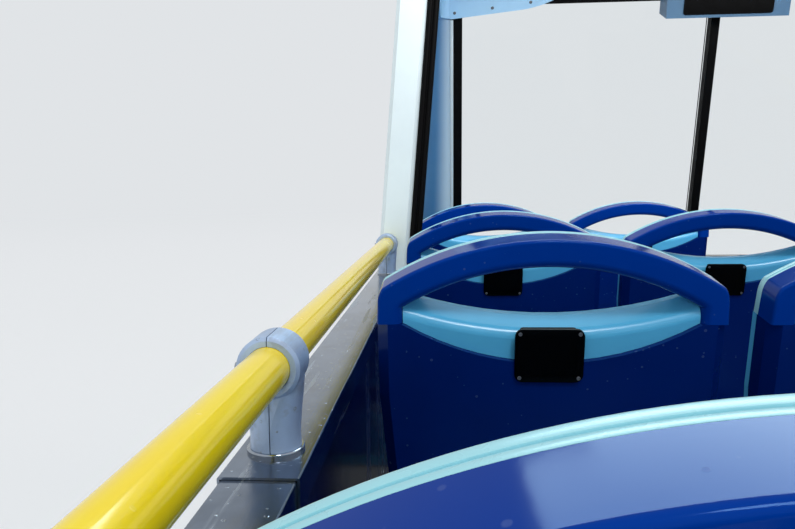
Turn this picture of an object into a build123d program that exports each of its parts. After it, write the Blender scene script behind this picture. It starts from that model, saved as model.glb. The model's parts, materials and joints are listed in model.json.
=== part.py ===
from build123d import *
import os
from math import atan, cos, degrees, radians, sin, sqrt

# Front section of the upper deck of an open top double decker bus.
# Millimetres. +X is the right-hand side, +Y the direction of travel, +Z up.
# The origin is under the middle of the section, level with its lowest faces.

# Overall section
half_width = 1245.0
bay_pitch = 1193.0
front_bay = 1479.0
section_length = 2 * bay_pitch + front_bay
y_rear = -section_length / 2
y_front = section_length / 2

# Deck and underframe
frame_depth = 70.0
floor_thickness = 20.0
deck_z = frame_depth + floor_thickness
longitudinal_width = 66.0
cross_width = 50.0
cross_count = 6
under_bolt_radius = 7.0
under_bolt_depth = 40.0
under_bolt_from_end = 232.5
under_bolt_inset = 30.0

# Side walls, linings and the polished capping
waist_height = 867.0
waist_z = deck_z + waist_height
capping_sheet = 2.0
capping_step = 2.3
capping_return = 30.0
capping_width = 66.0
capping_lap = 16.0
fit_gap = 0.3
lining_sheet = 4.0
joint_bolt_radius = 6.0
joint_bolt_depth = 40.0
joint_bolt_low = 200.0
joint_bolt_high = 800.0

# Handrails and their two-piece brackets
rail_radius = 19.0
rail_socket_radius = 17.0
rail_socket_depth = 120.0
rail_height = 76.0
rail_end_gap = 4.0
bracket_from_joint = 45.0
bracket_foot_radius = 22.0
bracket_straight = 18.0
bracket_head_corner = 12.0
collar_radius = 27.0
collar_length = 45.0
collar_chamfer = 3.0
bracket_seam = 0.8
ring_radius = 25.0
ring_height = 4.0
bracket_count = 3

# Front end: tumblehome of the sides and rake of the windscreen, as slopes
tumblehome = 0.085
rake = 0.2128
corner_radius = 200.0
corner_straight = 45.0
corner_flat = 2.0
pillar_thickness = 66.0
roof_z = 1950.0
screen_inset = 205.0
screen_half_width = half_width - screen_inset
screen_sill_z = 800.0
screen_reveal = 14.0
screen_frame_depth = 60.0
screen_border = 49.0
screen_divider = 33.0
screen_corner = 45.0
glass_sheet = 8.0
glass_inset = 12.0

# Rear pillar and side window of the front bay, with the lining round the window
pillar_from_joint = 127.0
rear_pillar_y = y_rear + 2 * bay_pitch + pillar_from_joint
rear_pillar_width = 79.0
rear_pillar_length = 80.0
rear_pillar_chamfer = 10.0
cantrail_height = 45.0
cantrail_width = 60.0
side_frame_border = 35.0
side_frame_depth = 30.0
side_frame_inset = 10.0
side_corner = 30.0
surround_step = 6.0
surround_bevel = 12.0

# Rubber seal on the inboard face of the rear pillar: a web with two beads
seal_width = 31.0
seal_depth = 16.0
seal_bead_radius = 6.0

# Roof panel over the front row
roof_edge = 15.0
roof_rise = 40.0
roof_overhang = 8.0

# Lining of the windscreen header, lower at its ends and carried back along the sides
header_sheet = 18.0
header_end_drop = 109.0
header_low_drop = 75.0
header_high_drop = 18.0
header_end_z = roof_z - header_end_drop
header_low_z = roof_z - header_low_drop
header_high_z = roof_z - header_high_drop
header_low_x = 700.0
header_high_x = 560.0
header_curve = 400.0

# Display housing below the middle of the header, and its blank screen
display_half_width = 225.0
display_drop = 152.0
display_front_drop = 112.0
display_low_z = roof_z - display_drop
display_front_low_z = roof_z - display_front_drop
display_depth = 97.0
screen_plate_half_width = 164.0
screen_plate_border = 10.0
screen_plate_height = 118.0
screen_plate_corner = 10.0
screen_plate_sheet = 5.0

# Seats: one shell, rear cover and arched handle for each passenger
row_pitch = 705.0
row_count = 5
last_row_from_rear = 113.0
seat_width = 440.0
seat_gap = 50.0
seat_wall_gap = 30.6
recline = 9.0

# Seat backs: heights up the back from its foot, depths forward from its rear face
apex_h = 653.0
hand_hold_drop = 110.0
cover_top_h = apex_h - hand_hold_drop
cover_straight = 103.0
cover_waist_h = cover_top_h - cover_straight
cover_foot_h = 40.0
cover_taper = 30.0
cover_depth = 42.0
cover_chamfer = 14.0
cutout_depth = 53.0
shell_sheet = 12.0
lip_end_rise = 29.0
lip_hollow = 31.0
lip_setback = 8.0
lip_ridge_drop = 12.0
lip_ridge_radius = 14.0
handle_radius = 394.0
handle_band = 37.0
handle_column = 33.0
handle_taper = 6.0
handle_corner = 16.0
handle_round = 4.0
hold_round = 12.0
rim_depth = 14.5
rim_round = 3.0
rim_groove = 2.2
rim_groove_depth = 1.2
rim_groove_from_front = 8.0

# Seat pans and what lies on them
pan_top_z = 391.0
pan_above_foot = 10.0
pan_upstand = 6.0
pan_upstand_run = 16.0
pan_front_y = 552.0
pan_nose_drop = 62.0
pan_nose_bevel = 16.0
pan_nose_bevel_drop = 28.0
pan_side_inset = 8.0
cushion_side_inset = 25.0
cushion_height = 52.0
cushion_front_y = 520.0
cushion_chamfer = 14.0
pad_side_inset = 42.0
pad_low_h = 96.0
pad_below_cover = 73.0
pad_sheet = 22.0
pad_chamfer = 8.0

# Seat frames: two cross tubes from the wall to a leg frame by the aisle
tube_size = 30.0
tube_rear_y = 235.0
tube_front_y = 465.0
tube_end_inset = 13.0
leg_inset = 77.0
leg_size = 34.0
foot_length = 330.0
foot_width = 60.0
foot_height = 10.0
wall_plate = 70.0
wall_plate_sheet = 6.0

# Values worked out from those above
back_depth = cover_depth + shell_sheet
handle_depth = back_depth - rim_depth - fit_gap
back_foot_y = apex_h * sin(radians(recline))
back_foot_z = pan_top_z - pan_above_foot
wall_outer = half_width - capping_sheet - capping_step - fit_gap
capping_inner = half_width - capping_width
lining_inner = capping_inner + capping_sheet + capping_step + fit_gap
wall_inner = lining_inner + lining_sheet
front_thickness = wall_outer - wall_inner
front_wall_top = waist_z + fit_gap
rear_wall_top = front_wall_top - capping_step
rail_x = half_width - capping_width / 2
capping_top = front_wall_top + capping_sheet
rail_z = capping_top + rail_height
joint_y = y_rear + bay_pitch
lean = degrees(atan(tumblehome))
rake_angle = degrees(atan(rake))
wall_front_y = y_front - corner_radius - corner_straight
under_bolt_y = y_front - corner_radius - under_bolt_from_end
lining_inset = screen_reveal + screen_frame_depth
bracket_ys = [y_rear + bracket_from_joint + i * bay_pitch for i in range(bracket_count)]
pan_rear_y = back_foot_y + back_depth + fit_gap
cushion_rear_y = pan_rear_y + pan_upstand_run + fit_gap
row_ys = [y_rear + last_row_from_rear + i * row_pitch for i in range(row_count)]
window_seat_x = lining_inner - seat_wall_gap - seat_width / 2
aisle_seat_x = window_seat_x - seat_width - seat_gap
seat_xs = [window_seat_x, aisle_seat_x]
cover_foot_half = seat_width / 2 - cover_taper
hold_half = seat_width / 2 - handle_column
cutout_radius = (hold_half**2 + cutout_depth**2) / (2 * cutout_depth)
cutout_centre_h = cover_top_h - cutout_depth + cutout_radius
lip_radius = (hold_half**2 + lip_hollow**2) / (2 * lip_hollow)
lip_centre_h = cover_top_h + lip_end_rise - lip_hollow + lip_radius


def block(x0, x1, y0, y1, z0, z1):
    """A box between two corners."""
    return Pos((x0 + x1) / 2, (y0 + y1) / 2, (z0 + z1) / 2) * Box(x1 - x0, y1 - y0, z1 - z0)


def mirrored(solid, side):
    """The solid for the right-hand side, or its mirror image for the left."""
    return solid if side > 0 else mirror(solid, about=Plane.YZ)


def along_y(points, y0, y1):
    """A closed outline of (x, z) points extruded from y0 to y1."""
    face = make_face(Polyline(*[(x, y0, z) for x, z in points], close=True))
    return extrude(face, amount=y1 - y0, dir=(0, 1, 0))


def along_x(points, x0, x1):
    """A closed outline of (y, z) points extruded from x0 to x1."""
    face = make_face(Polyline(*[(x0, y, z) for y, z in points], close=True))
    return extrude(face, amount=x1 - x0, dir=(1, 0, 0))


def side_x(z):
    """The outer face of the leaning side above the waist."""
    return half_width - tumblehome * (z - front_wall_top)


def nose_y(z):
    """The outer face of the front end, raked above the windscreen's sill."""
    return y_front - rake * (z - screen_sill_z)


def screen_y(z):
    """The inner face of the raked windscreen frame."""
    return nose_y(z) - screen_reveal - screen_frame_depth


# Underframe: two side members with cross members between them
def side_members():
    outer = wall_inner - fit_gap
    inner = outer - longitudinal_width
    member = block(inner, outer, y_rear, y_front - corner_radius, 0, frame_depth)
    for y in (-under_bolt_y, under_bolt_y):
        place = Pos(outer - under_bolt_inset, y, under_bolt_depth / 2)
        member -= place * Cylinder(under_bolt_radius, under_bolt_depth)
    return Compound([mirrored(member, side) for side in (-1, 1)])


def cross_members():
    half = wall_inner - longitudinal_width - 2 * fit_gap
    span = y_front - corner_radius - y_rear - cross_width
    starts = [y_rear + span * i / (cross_count - 1) for i in range(cross_count)]
    return Compound([block(-half, half, y, y + cross_width, 0, frame_depth) for y in starts])


def plan_outline(half, front, radius, back, z0, z1):
    """A deck-shaped block: rounded front corners, square rear ones."""
    outline = [
        Line((-half, back), (half, back)),
        Line((half, back), (half, front - radius)),
        RadiusArc((half, front - radius), (half - radius, front), -radius),
        Line((half - radius, front), (-half + radius, front)),
        RadiusArc((-half + radius, front), (-half, front - radius), -radius),
        Line((-half, front - radius), (-half, back)),
    ]
    return extrude(Pos(0, 0, z0) * make_face(Wire(outline)), amount=z1 - z0)


def plan_band(half, front, radius, thickness, back, z0, z1):
    """A U-shaped wall that follows the deck's front end."""
    outer = plan_outline(half, front, radius, back, z0, z1)
    inner = plan_outline(half - thickness, front - thickness, radius - thickness, back, z0, z1)
    return outer - inner


def floor_panel():
    inset = front_thickness + lining_sheet + 3 * fit_gap
    half = wall_outer - inset
    radius = corner_radius - inset
    return plan_outline(half, y_front - inset, radius, y_rear, frame_depth, deck_z)


# Side walls: the front bays stand higher by the step of the capping's lap
def side_wall(side):
    wall = block(wall_inner, wall_outer, y_rear, wall_front_y, 0, rear_wall_top)
    wall += block(wall_inner, wall_outer, joint_y, wall_front_y, 0, front_wall_top)
    x = (wall_inner + wall_outer) / 2
    for z in (joint_bolt_low, joint_bolt_high):
        hole = Cylinder(joint_bolt_radius, joint_bolt_depth, rotation=(90, 0, 0))
        wall -= Pos(x, y_rear + joint_bolt_depth / 2, z) * hole
    return mirrored(wall, side)


def side_lining(side):
    low = deck_z - floor_thickness
    high = rear_wall_top - fit_gap
    return mirrored(block(lining_inner, wall_inner, y_rear, wall_front_y, low, high), side)


# Capping: a channel folded over the wall; the front length laps the rear one
def capping(side, front):
    step = 0 if front else capping_step
    top = capping_top - step
    outer = half_width - step
    inner = capping_inner + step
    y0 = joint_y - capping_lap if front else y_rear
    y1 = rear_pillar_y - fit_gap if front else joint_y - fit_gap
    low = top - capping_return
    under = top - capping_sheet
    profile = [
        (outer, top),
        (outer, low),
        (outer - capping_sheet, low),
        (outer - capping_sheet, under),
        (inner + capping_sheet, under),
        (inner + capping_sheet, low),
        (inner, low),
        (inner, top),
    ]
    channel = along_y(profile, y0, y1)
    edges = channel.edges().filter_by(Axis.Y).group_by(Axis.Z)[-1]
    return mirrored(fillet(edges, capping_sheet * 0.9), side)


# Handrail: a tube whose rear end takes the next length's spigot
def handrail(side):
    y0 = y_rear
    y1 = rear_pillar_y - rail_end_gap
    length = y1 - y0 - rail_radius
    rail = Pos(rail_x, y0 + length / 2, rail_z) * Cylinder(rail_radius, length, rotation=(90, 0, 0))
    rail += Pos(rail_x, y0 + length, rail_z) * Sphere(rail_radius)
    socket = Cylinder(rail_socket_radius, rail_socket_depth, rotation=(90, 0, 0))
    rail -= Pos(rail_x, y0 + rail_socket_depth / 2, rail_z) * socket
    return mirrored(rail, side)


# Bracket: a tapering foot that grows into a split collar round the rail
def bracket_body():
    foot = RectangleRounded(2 * bracket_foot_radius, 2 * bracket_foot_radius, bracket_foot_radius - 0.5)
    head_width = 2 * collar_radius - collar_chamfer
    head = RectangleRounded(head_width, collar_length - 2 * collar_chamfer, bracket_head_corner)
    heights = [ring_height, ring_height + bracket_straight, rail_height - collar_chamfer, rail_height]
    sections = [Pos(0, 0, z) * shape for z, shape in zip(heights, [foot, foot, head, head])]
    neck = loft(sections)
    collar = Cylinder(collar_radius, collar_length, rotation=(90, 0, 0))
    collar = chamfer(collar.edges().filter_by(GeomType.CIRCLE), collar_chamfer)
    body = neck + Pos(0, 0, rail_height) * collar
    bore = Cylinder(rail_radius + fit_gap, 2 * collar_length, rotation=(90, 0, 0))
    return body - Pos(0, 0, rail_height) * bore


def bracket_half(outer):
    """The outboard or inboard half, for a bracket on the right-hand rail."""
    reach = 2 * collar_radius
    high = rail_height + reach
    near = bracket_seam / 2
    keep = block(near, reach, -reach, reach, 0, high)
    if not outer:
        keep = mirror(keep, about=Plane.YZ)
    return bracket_body() & keep


def on_brackets(solid, side):
    """A copy of the solid at each bracket of one side."""
    return Compound([mirrored(Pos(rail_x, y, capping_top) * solid, side) for y in bracket_ys])


def bracket_rings():
    """The seats of all the posts, taller by the step on the lower lengths of capping."""
    rings = []
    for y in bracket_ys:
        drop = capping_step if y < joint_y else 0
        height = ring_height + drop
        ring = Cylinder(ring_radius, height, align=(Align.CENTER, Align.CENTER, Align.MIN))
        ring = fillet(ring.edges().group_by(Axis.Z)[-1], ring_height * 0.4)
        rings += [mirrored(Pos(rail_x, y, capping_top - drop) * ring, side) for side in (-1, 1)]
    return Compound(rings)


# Front end below the windscreen
def front_panel():
    panel = plan_band(wall_outer, y_front, corner_radius, front_thickness, wall_front_y, 0, screen_sill_z)
    for side in (-1, 1):
        sections = [
            corner_section(z, wall_outer, corner_radius, wall_front_y, 0, front_thickness)
            for z in (screen_sill_z, front_wall_top)
        ]
        panel += mirrored(loft(sections, ruled=True), side)
    return panel


def front_lining():
    inset = front_thickness + fit_gap
    half = wall_outer - inset
    radius = corner_radius - inset
    low = deck_z - floor_thickness
    high = screen_sill_z - fit_gap
    return plan_band(half, y_front - inset, radius, lining_sheet, wall_front_y + fit_gap, low, high)


def pillar_radius(z):
    """The plan radius of the corner pillar, from the screen to the leaning side."""
    return side_x(z) - screen_half_width - corner_flat


def pillar_start_y(z):
    """The rear edge of the corner pillar."""
    return nose_y(z) - pillar_radius(z) - corner_straight


def pillar_section(z, inset, thickness):
    return corner_section(z, side_x(z), pillar_radius(z), pillar_start_y(z), inset, thickness)


def corner_section(z, out_x, radius, start_y, inset, thickness):
    """A plan section of the front corner between two offsets from its outer face."""
    offsets = (inset, inset + thickness)
    centre = (out_x - radius, nose_y(z) - radius)
    points = []
    for offset in offsets:
        r = radius - offset
        turn = r / sqrt(2)
        points.append(
            [
                (centre[0] + r, start_y),
                (centre[0] + r, centre[1]),
                (centre[0] + turn, centre[1] + turn),
                (centre[0], centre[1] + r),
                (screen_half_width + fit_gap, centre[1] + r),
            ]
        )
    outer, inner = points
    edges = [
        Line(outer[0], outer[1]),
        ThreePointArc(outer[1], outer[2], outer[3]),
        Line(outer[3], outer[4]),
        Line(outer[4], inner[4]),
        Line(inner[4], inner[3]),
        ThreePointArc(inner[3], inner[2], inner[1]),
        Line(inner[1], inner[0]),
        Line(inner[0], outer[0]),
    ]
    return Pos(0, 0, z) * make_face(Wire(edges))


def corner_pillar(side):
    sections = [pillar_section(z, 0, pillar_thickness) for z in (front_wall_top, roof_z)]
    return mirrored(loft(sections, ruled=True), side)


def corner_linings():
    inset = pillar_thickness + fit_gap
    sections = [pillar_section(z, inset, lining_inset - inset) for z in (front_wall_top, roof_z)]
    lining = loft(sections, ruled=True)
    return Compound([mirrored(lining, side) for side in (-1, 1)])


# Rear pillar of the front bay and its seal, leaning with the side
def leaning_post(face, side):
    """A plan shape carried up the leaning side from the waist to the roof."""
    length = roof_z - front_wall_top
    post = extrude(Pos(0, 0, -rear_pillar_width) * face, amount=length + 2 * rear_pillar_width)
    post = Pos(half_width, 0, front_wall_top) * Rot(0, -lean, 0) * post
    keep = block(0, 2 * half_width, rear_pillar_y - 1, y_front, front_wall_top, roof_z)
    return mirrored(post & keep, side)


def rear_pillar(side):
    place = Pos(-rear_pillar_width / 2, rear_pillar_y + rear_pillar_length / 2)
    face = place * Rectangle(rear_pillar_width, rear_pillar_length)
    face = chamfer(face.vertices().group_by(Axis.Y)[0], rear_pillar_chamfer)
    return leaning_post(face, side)


def rear_pillar_seals():
    outboard = -rear_pillar_width - fit_gap
    web_depth = seal_depth - seal_bead_radius
    place = Pos(outboard - seal_width / 2, rear_pillar_y + seal_depth - web_depth / 2)
    face = place * Rectangle(seal_width, web_depth)
    for share in (0.25, 0.75):
        bead = Pos(outboard - seal_width * share, rear_pillar_y + seal_bead_radius)
        face += bead * Circle(seal_bead_radius)
    return Compound([leaning_post(face, side) for side in (-1, 1)])


def window_outline(margin, corner, reach):
    """The side window's outline in its own plane, shrunk by a margin, as (y, height).

    The reach is how far inboard the piece goes, which lifts its outline clear of the waist.
    """
    low = front_wall_top + reach * tumblehome + fit_gap
    high = roof_z - cantrail_height - fit_gap
    bottom_y = pillar_start_y(front_wall_top)
    slope = (bottom_y - pillar_start_y(roof_z)) / (roof_z - front_wall_top)
    rear = rear_pillar_y + rear_pillar_length + fit_gap + margin
    stretch = 1 / cos(radians(lean))
    s0 = (low - front_wall_top) * stretch + margin
    s1 = (high - front_wall_top) * stretch - margin
    front0 = bottom_y - slope * s0 - 2 * fit_gap - margin
    front1 = bottom_y - slope * s1 - 2 * fit_gap - margin
    points = [(0, rear, s0), (0, front0, s0), (0, front1, s1), (0, rear, s1)]
    if not corner:
        return make_face(Polyline(*points, close=True))
    return make_face(FilletPolyline(*points, radius=corner, close=True))


def in_window_plane(solid):
    """Moves a solid drawn with Y along the window and Z up it to the right-hand side."""
    return Pos(half_width - side_frame_inset, 0, front_wall_top) * Rot(0, -lean, 0) * solid


def side_window_frame(side):
    depth = side_frame_depth
    frame = extrude(window_outline(0, 0, depth), amount=-depth, dir=(1, 0, 0))
    frame -= extrude(window_outline(side_frame_border, side_corner, depth), amount=-depth, dir=(1, 0, 0))
    return mirrored(in_window_plane(frame), side)


def side_window_glass(side):
    margin = side_frame_border + fit_gap
    outline = window_outline(margin, side_corner, side_frame_depth)
    glass = extrude(outline, amount=-glass_sheet, dir=(1, 0, 0))
    return mirrored(in_window_plane(Pos(-side_frame_depth / 3, 0, 0) * glass), side)


def side_surrounds():
    """The linings round the side windows, flush with those of the front corners."""
    reach = (lining_inset - side_frame_inset) * cos(radians(lean))
    sheet = reach - side_frame_depth - fit_gap
    margin = side_frame_border - surround_step
    ring = extrude(window_outline(0, 0, reach), amount=-sheet, dir=(1, 0, 0))
    ring -= extrude(window_outline(margin, side_corner + surround_step, reach), amount=-sheet, dir=(1, 0, 0))
    ring = chamfer(ring.faces().sort_by(Axis.X)[0].inner_wires()[0].edges(), surround_bevel)
    ring = in_window_plane(Pos(-side_frame_depth - fit_gap, 0, 0) * ring)
    return Compound([mirrored(ring, side) for side in (-1, 1)])


def cantrails():
    outer = side_x(roof_z)
    front = pillar_start_y(roof_z) - fit_gap
    rear = rear_pillar_y + rear_pillar_length + fit_gap
    beam = block(outer - cantrail_width, outer, rear, front, roof_z - cantrail_height, roof_z)
    return Compound([mirrored(beam, side) for side in (-1, 1)])


# Windscreen frame, divider and panes, drawn in their raked plane
def in_screen_plane(solid):
    """Moves a solid drawn with X across, Y outwards and Z up the glass."""
    return Pos(0, screen_y(screen_sill_z), screen_sill_z) * Rot(rake_angle, 0, 0) * solid


def screen_height():
    return (roof_z - fit_gap - screen_sill_z) / cos(radians(rake_angle)) - screen_frame_depth * rake


def screen_pane(side, shrink, y0, y1):
    x0 = screen_divider / 2 + shrink
    x1 = screen_half_width - screen_border - shrink
    z0 = screen_border + shrink
    z1 = screen_height() - screen_border - shrink
    pane = block(x0, x1, y0, y1, z0, z1)
    pane = fillet(pane.edges().filter_by(Axis.Y), screen_corner)
    return mirrored(pane, side)


def windscreen_frame():
    frame = block(
        -screen_half_width, screen_half_width, 0, screen_frame_depth, screen_frame_depth * rake, screen_height()
    )
    for side in (-1, 1):
        frame -= screen_pane(side, 0, -1, screen_frame_depth + 1)
    return in_screen_plane(frame)


def windscreen_pane(side):
    y1 = screen_frame_depth - glass_inset
    return in_screen_plane(screen_pane(side, fit_gap, y1 - glass_sheet, y1))


# Roof panel over the front row, flat below and arched above
def roof_panel():
    """The panel over the front bay: its plan, cut to a shallow arch by a large cylinder."""
    edge = side_x(roof_z) + roof_overhang
    front = nose_y(roof_z) + roof_overhang
    rear = rear_pillar_y - roof_overhang
    radius = side_x(roof_z) - screen_half_width
    crown = roof_z + roof_edge + roof_rise
    arch_radius = (edge**2 + roof_rise**2) / (2 * roof_rise)
    arch = Cylinder(arch_radius, 2 * y_front, rotation=(90, 0, 0))
    panel = plan_outline(edge, front, radius, rear, roof_z, crown + roof_rise)
    return panel & Pos(0, y_front, crown - arch_radius) * arch


# Header lining: a plate inside the windscreen frame, and a return along each side
def header_plate():
    half = screen_half_width
    outline = [
        (-half, header_end_z),
        (-header_low_x, header_low_z),
        (-header_high_x, header_high_z),
        (header_high_x, header_high_z),
        (header_low_x, header_low_z),
        (half, header_end_z),
        (half, roof_z - fit_gap - header_sheet * rake),
        (-half, roof_z - fit_gap - header_sheet * rake),
    ]
    stretch = 1 / cos(radians(rake_angle))
    points = [(x, 0, (z - screen_sill_z) * stretch) for x, z in outline]
    plate = extrude(make_face(Polyline(*points, close=True)), amount=header_sheet, dir=(0, -1, 0))
    bends = [e for e in plate.edges().filter_by(Axis.Y) if abs(e.center().X) < header_low_x + 1]
    return in_screen_plane(Pos(0, -fit_gap, 0) * fillet(bends, header_curve))


def header_return(side):
    start_y = rear_pillar_y + rear_pillar_length + fit_gap
    inset = lining_inset + fit_gap
    sections = [
        corner_section(z, side_x(z), pillar_radius(z), start_y, inset, header_sheet)
        for z in (header_end_z, roof_z - fit_gap)
    ]
    return mirrored(loft(sections, ruled=True), side)


def header_lining():
    return Compound([header_plate(), header_return(-1), header_return(1)])


def display_front_y(z):
    """The front of the display's housing, which is parallel to the windscreen."""
    return screen_y(z) - header_sheet - 3 * fit_gap


def display_housing():
    top = roof_z - fit_gap
    profile = [
        (display_front_y(display_low_z) - display_depth, display_low_z),
        (display_front_y(display_front_low_z), display_front_low_z),
        (display_front_y(top), top),
        (display_front_y(top) - display_depth, top),
    ]
    return along_x(profile, -display_half_width, display_half_width)


def display_screen():
    low = display_low_z + screen_plate_border
    high = low + screen_plate_height
    low_y = display_front_y(low) - display_depth - fit_gap
    high_y = display_front_y(high) - display_depth - fit_gap
    profile = [
        (low_y - screen_plate_sheet, low),
        (low_y, low),
        (high_y, high),
        (high_y - screen_plate_sheet, high),
    ]
    plate = along_x(profile, -screen_plate_half_width, screen_plate_half_width)
    return fillet(plate.edges().filter_by(Axis.Y), screen_plate_corner)


# Seats, drawn upright with Y forward through the back and then reclined
def reclined(solid):
    return Pos(0, back_foot_y, back_foot_z) * Rot(recline, 0, 0) * solid


def back_outline(foot_h):
    """The rear view of a seat back, narrowing from its waist to its foot, as (x, height)."""
    half = seat_width / 2
    return [
        (-cover_foot_half, foot_h),
        (cover_foot_half, foot_h),
        (half, cover_waist_h),
        (half, cover_top_h),
        (-half, cover_top_h),
        (-half, cover_waist_h),
    ]


def disc_through_back(radius, centre_h):
    """A disc from front to rear through a seat back, about a centre at the given height."""
    return Pos(0, back_depth / 2, centre_h) * Cylinder(radius, 2 * back_depth, rotation=(90, 0, 0))


def seat_cover():
    cover = along_y(back_outline(cover_foot_h), 0, cover_depth)
    rear_edges = cover.faces().sort_by(Axis.Y)[0].edges()
    cover = chamfer([e for e in rear_edges if e.center().Z < cover_top_h - 1], cover_chamfer)
    return reclined(cover - disc_through_back(cutout_radius, cutout_centre_h))


def lip_top_h(x):
    """The height of the shell's hollow upper edge at a distance from the middle of the seat."""
    return lip_centre_h - sqrt(lip_radius**2 - x**2)


def shell_roll():
    """The thick upper edge of the shell, which hangs lower in its middle, inside the hand hold."""
    top = lip_top_h(0)
    low = top - 2 * cutout_depth
    profile = [
        (lip_setback, low),
        (lip_setback, top - lip_ridge_drop),
        (cover_depth, top),
        (back_depth, top),
        (back_depth, low),
    ]
    section = make_face(Polyline([(0, y, h) for y, h in profile], close=True))
    ridge = [v for v in section.vertices() if abs(v.Z - top + lip_ridge_drop) < 0.1]
    ring = revolve(fillet(ridge, lip_ridge_radius), Axis((0, 0, lip_centre_h), (0, 1, 0)))
    half = hold_half - fit_gap
    roll = ring & block(-half, half, 0, back_depth, low, apex_h)
    roll &= disc_through_back(handle_radius - handle_band - fit_gap, apex_h - handle_radius)
    return roll & disc_through_back(cutout_radius - fit_gap, cutout_centre_h)


def seat_back():
    """The shell of the back, whose roll shows above the hollow of the cover."""
    sheet = along_y(back_outline(0), cover_depth + fit_gap, back_depth)
    sheet -= disc_through_back(lip_radius, lip_centre_h)
    return reclined(sheet + shell_roll())


def seat_pan():
    edge = shell_sheet
    top = pan_top_z
    under_nose = top - pan_nose_bevel_drop - edge / 2
    pan = [
        (pan_rear_y, top + pan_upstand),
        (pan_rear_y, top - edge),
        (pan_front_y - pan_nose_bevel - edge / 2, top - edge),
        (pan_front_y - edge, under_nose),
        (pan_front_y - edge, top - pan_nose_drop),
        (pan_front_y, top - pan_nose_drop),
        (pan_front_y, top - pan_nose_bevel_drop),
        (pan_front_y - pan_nose_bevel, top),
        (pan_rear_y + pan_upstand_run, top),
        (pan_rear_y + shell_sheet, top + pan_upstand),
    ]
    half = seat_width / 2 - pan_side_inset
    return along_x(pan, -half, half)


def hoop(y0, y1):
    """The arch over the hand hold, between two depths, with its upper corners rounded."""
    low = cover_top_h + fit_gap
    half = seat_width / 2
    top_half = half - handle_taper
    centre_h = apex_h - handle_radius
    outer_end = centre_h + sqrt(handle_radius**2 - top_half**2)
    inner_radius = handle_radius - handle_band
    inner_end = centre_h + sqrt(inner_radius**2 - hold_half**2)
    inner_apex = apex_h - handle_band
    edges = [
        Line((hold_half, y0, low), (half, y0, low)),
        Line((half, y0, low), (top_half, y0, outer_end)),
        ThreePointArc((top_half, y0, outer_end), (0, y0, apex_h), (-top_half, y0, outer_end)),
        Line((-top_half, y0, outer_end), (-half, y0, low)),
        Line((-half, y0, low), (-hold_half, y0, low)),
        Line((-hold_half, y0, low), (-hold_half, y0, inner_end)),
        ThreePointArc((-hold_half, y0, inner_end), (0, y0, inner_apex), (hold_half, y0, inner_end)),
        Line((hold_half, y0, inner_end), (hold_half, y0, low)),
    ]
    arch = extrude(make_face(Wire(edges)), amount=y1 - y0, dir=(0, 1, 0))
    shoulders = arch.edges().filter_by(Axis.Y).group_by(Axis.Z)[-1]
    return fillet(shoulders, handle_corner)


def outer_edges(face):
    """The edges round the outside of one face of the arch, less those at its feet and hand hold."""
    return [e for e in face.edges() if e.center().Z > cover_top_h + 1 and not on_hand_hold(e)]


def on_hand_hold(edge):
    middle = edge @ 0.5
    reach = sqrt(middle.X**2 + (middle.Z - apex_h + handle_radius) ** 2)
    return abs(abs(middle.X) - hold_half) < 0.1 or abs(reach - handle_radius + handle_band) < 0.1


def seat_handle():
    """The arch, with a small round outside and a large one where the fingers go round it."""
    arch = hoop(0, handle_depth)
    arch = fillet(outer_edges(arch.faces().sort_by(Axis.Y)[0]), handle_round)
    hold = [e for e in arch.faces().sort_by(Axis.Y)[0].edges() if on_hand_hold(e)]
    return reclined(fillet(hold, hold_round))


def seat_rim():
    """The light band round the front of the arch, with a groove between its two beads."""
    arch = hoop(back_depth - rim_depth, back_depth)
    front = arch.faces().sort_by(Axis.Y)[-1]
    rim = fillet(outer_edges(front), rim_round)
    groove_front = back_depth - rim_groove_from_front
    groove = Cylinder(handle_radius + rim_groove_depth, rim_groove, rotation=(90, 0, 0))
    groove -= Cylinder(handle_radius - rim_groove_depth, rim_groove, rotation=(90, 0, 0))
    groove = Pos(0, groove_front - rim_groove / 2, apex_h - handle_radius) * groove
    return reclined(rim - groove)


def seat_cushion():
    low = pan_top_z + fit_gap
    half = seat_width / 2 - cushion_side_inset
    cushion = block(-half, half, cushion_rear_y, cushion_front_y, low, low + cushion_height)
    return chamfer(cushion.edges().group_by(Axis.Z)[-1], cushion_chamfer)


def seat_pad():
    y0 = back_depth + fit_gap
    half = seat_width / 2 - pad_side_inset
    pad = block(-half, half, y0, y0 + pad_sheet, pad_low_h, cover_top_h - pad_below_cover)
    return reclined(chamfer(pad.faces().sort_by(Axis.Y)[-1].edges(), pad_chamfer))


def on_seats(solid):
    """A copy of the solid at each seat, row by row."""
    places = [(side * x, y) for y in row_ys for side in (-1, 1) for x in seat_xs]
    return Compound([Pos(x, y, deck_z) * solid for x, y in places])


def seat_frame():
    """The frame under one pair of seats on the right-hand side."""
    top = pan_top_z - shell_sheet - fit_gap
    wall = lining_inner - fit_gap
    middle_y = (tube_rear_y + tube_front_y) / 2
    aisle_x = aisle_seat_x - seat_width / 2 + tube_end_inset
    leg_x = aisle_seat_x - seat_width / 2 + leg_inset
    plate = wall_plate / 2
    plate_z = top - tube_size / 2
    leg = leg_size / 2
    frame = Part()
    for y in (tube_rear_y, tube_front_y):
        frame += block(aisle_x, wall, y - tube_size / 2, y + tube_size / 2, top - tube_size, top)
        frame += block(wall - wall_plate_sheet, wall, y - plate, y + plate, plate_z - plate, plate_z + plate)
        frame += block(leg_x - leg, leg_x + leg, y - leg, y + leg, fit_gap, plate_z)
    foot_y0 = middle_y - foot_length / 2
    foot_y1 = middle_y + foot_length / 2
    frame += block(leg_x - foot_width / 2, leg_x + foot_width / 2, foot_y0, foot_y1, fit_gap, foot_height)
    return frame


def on_rows(solid):
    """A copy of the solid at each row of both sides."""
    return Compound([mirrored(Pos(0, y, deck_z) * solid, side) for y in row_ys for side in (-1, 1)])


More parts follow.
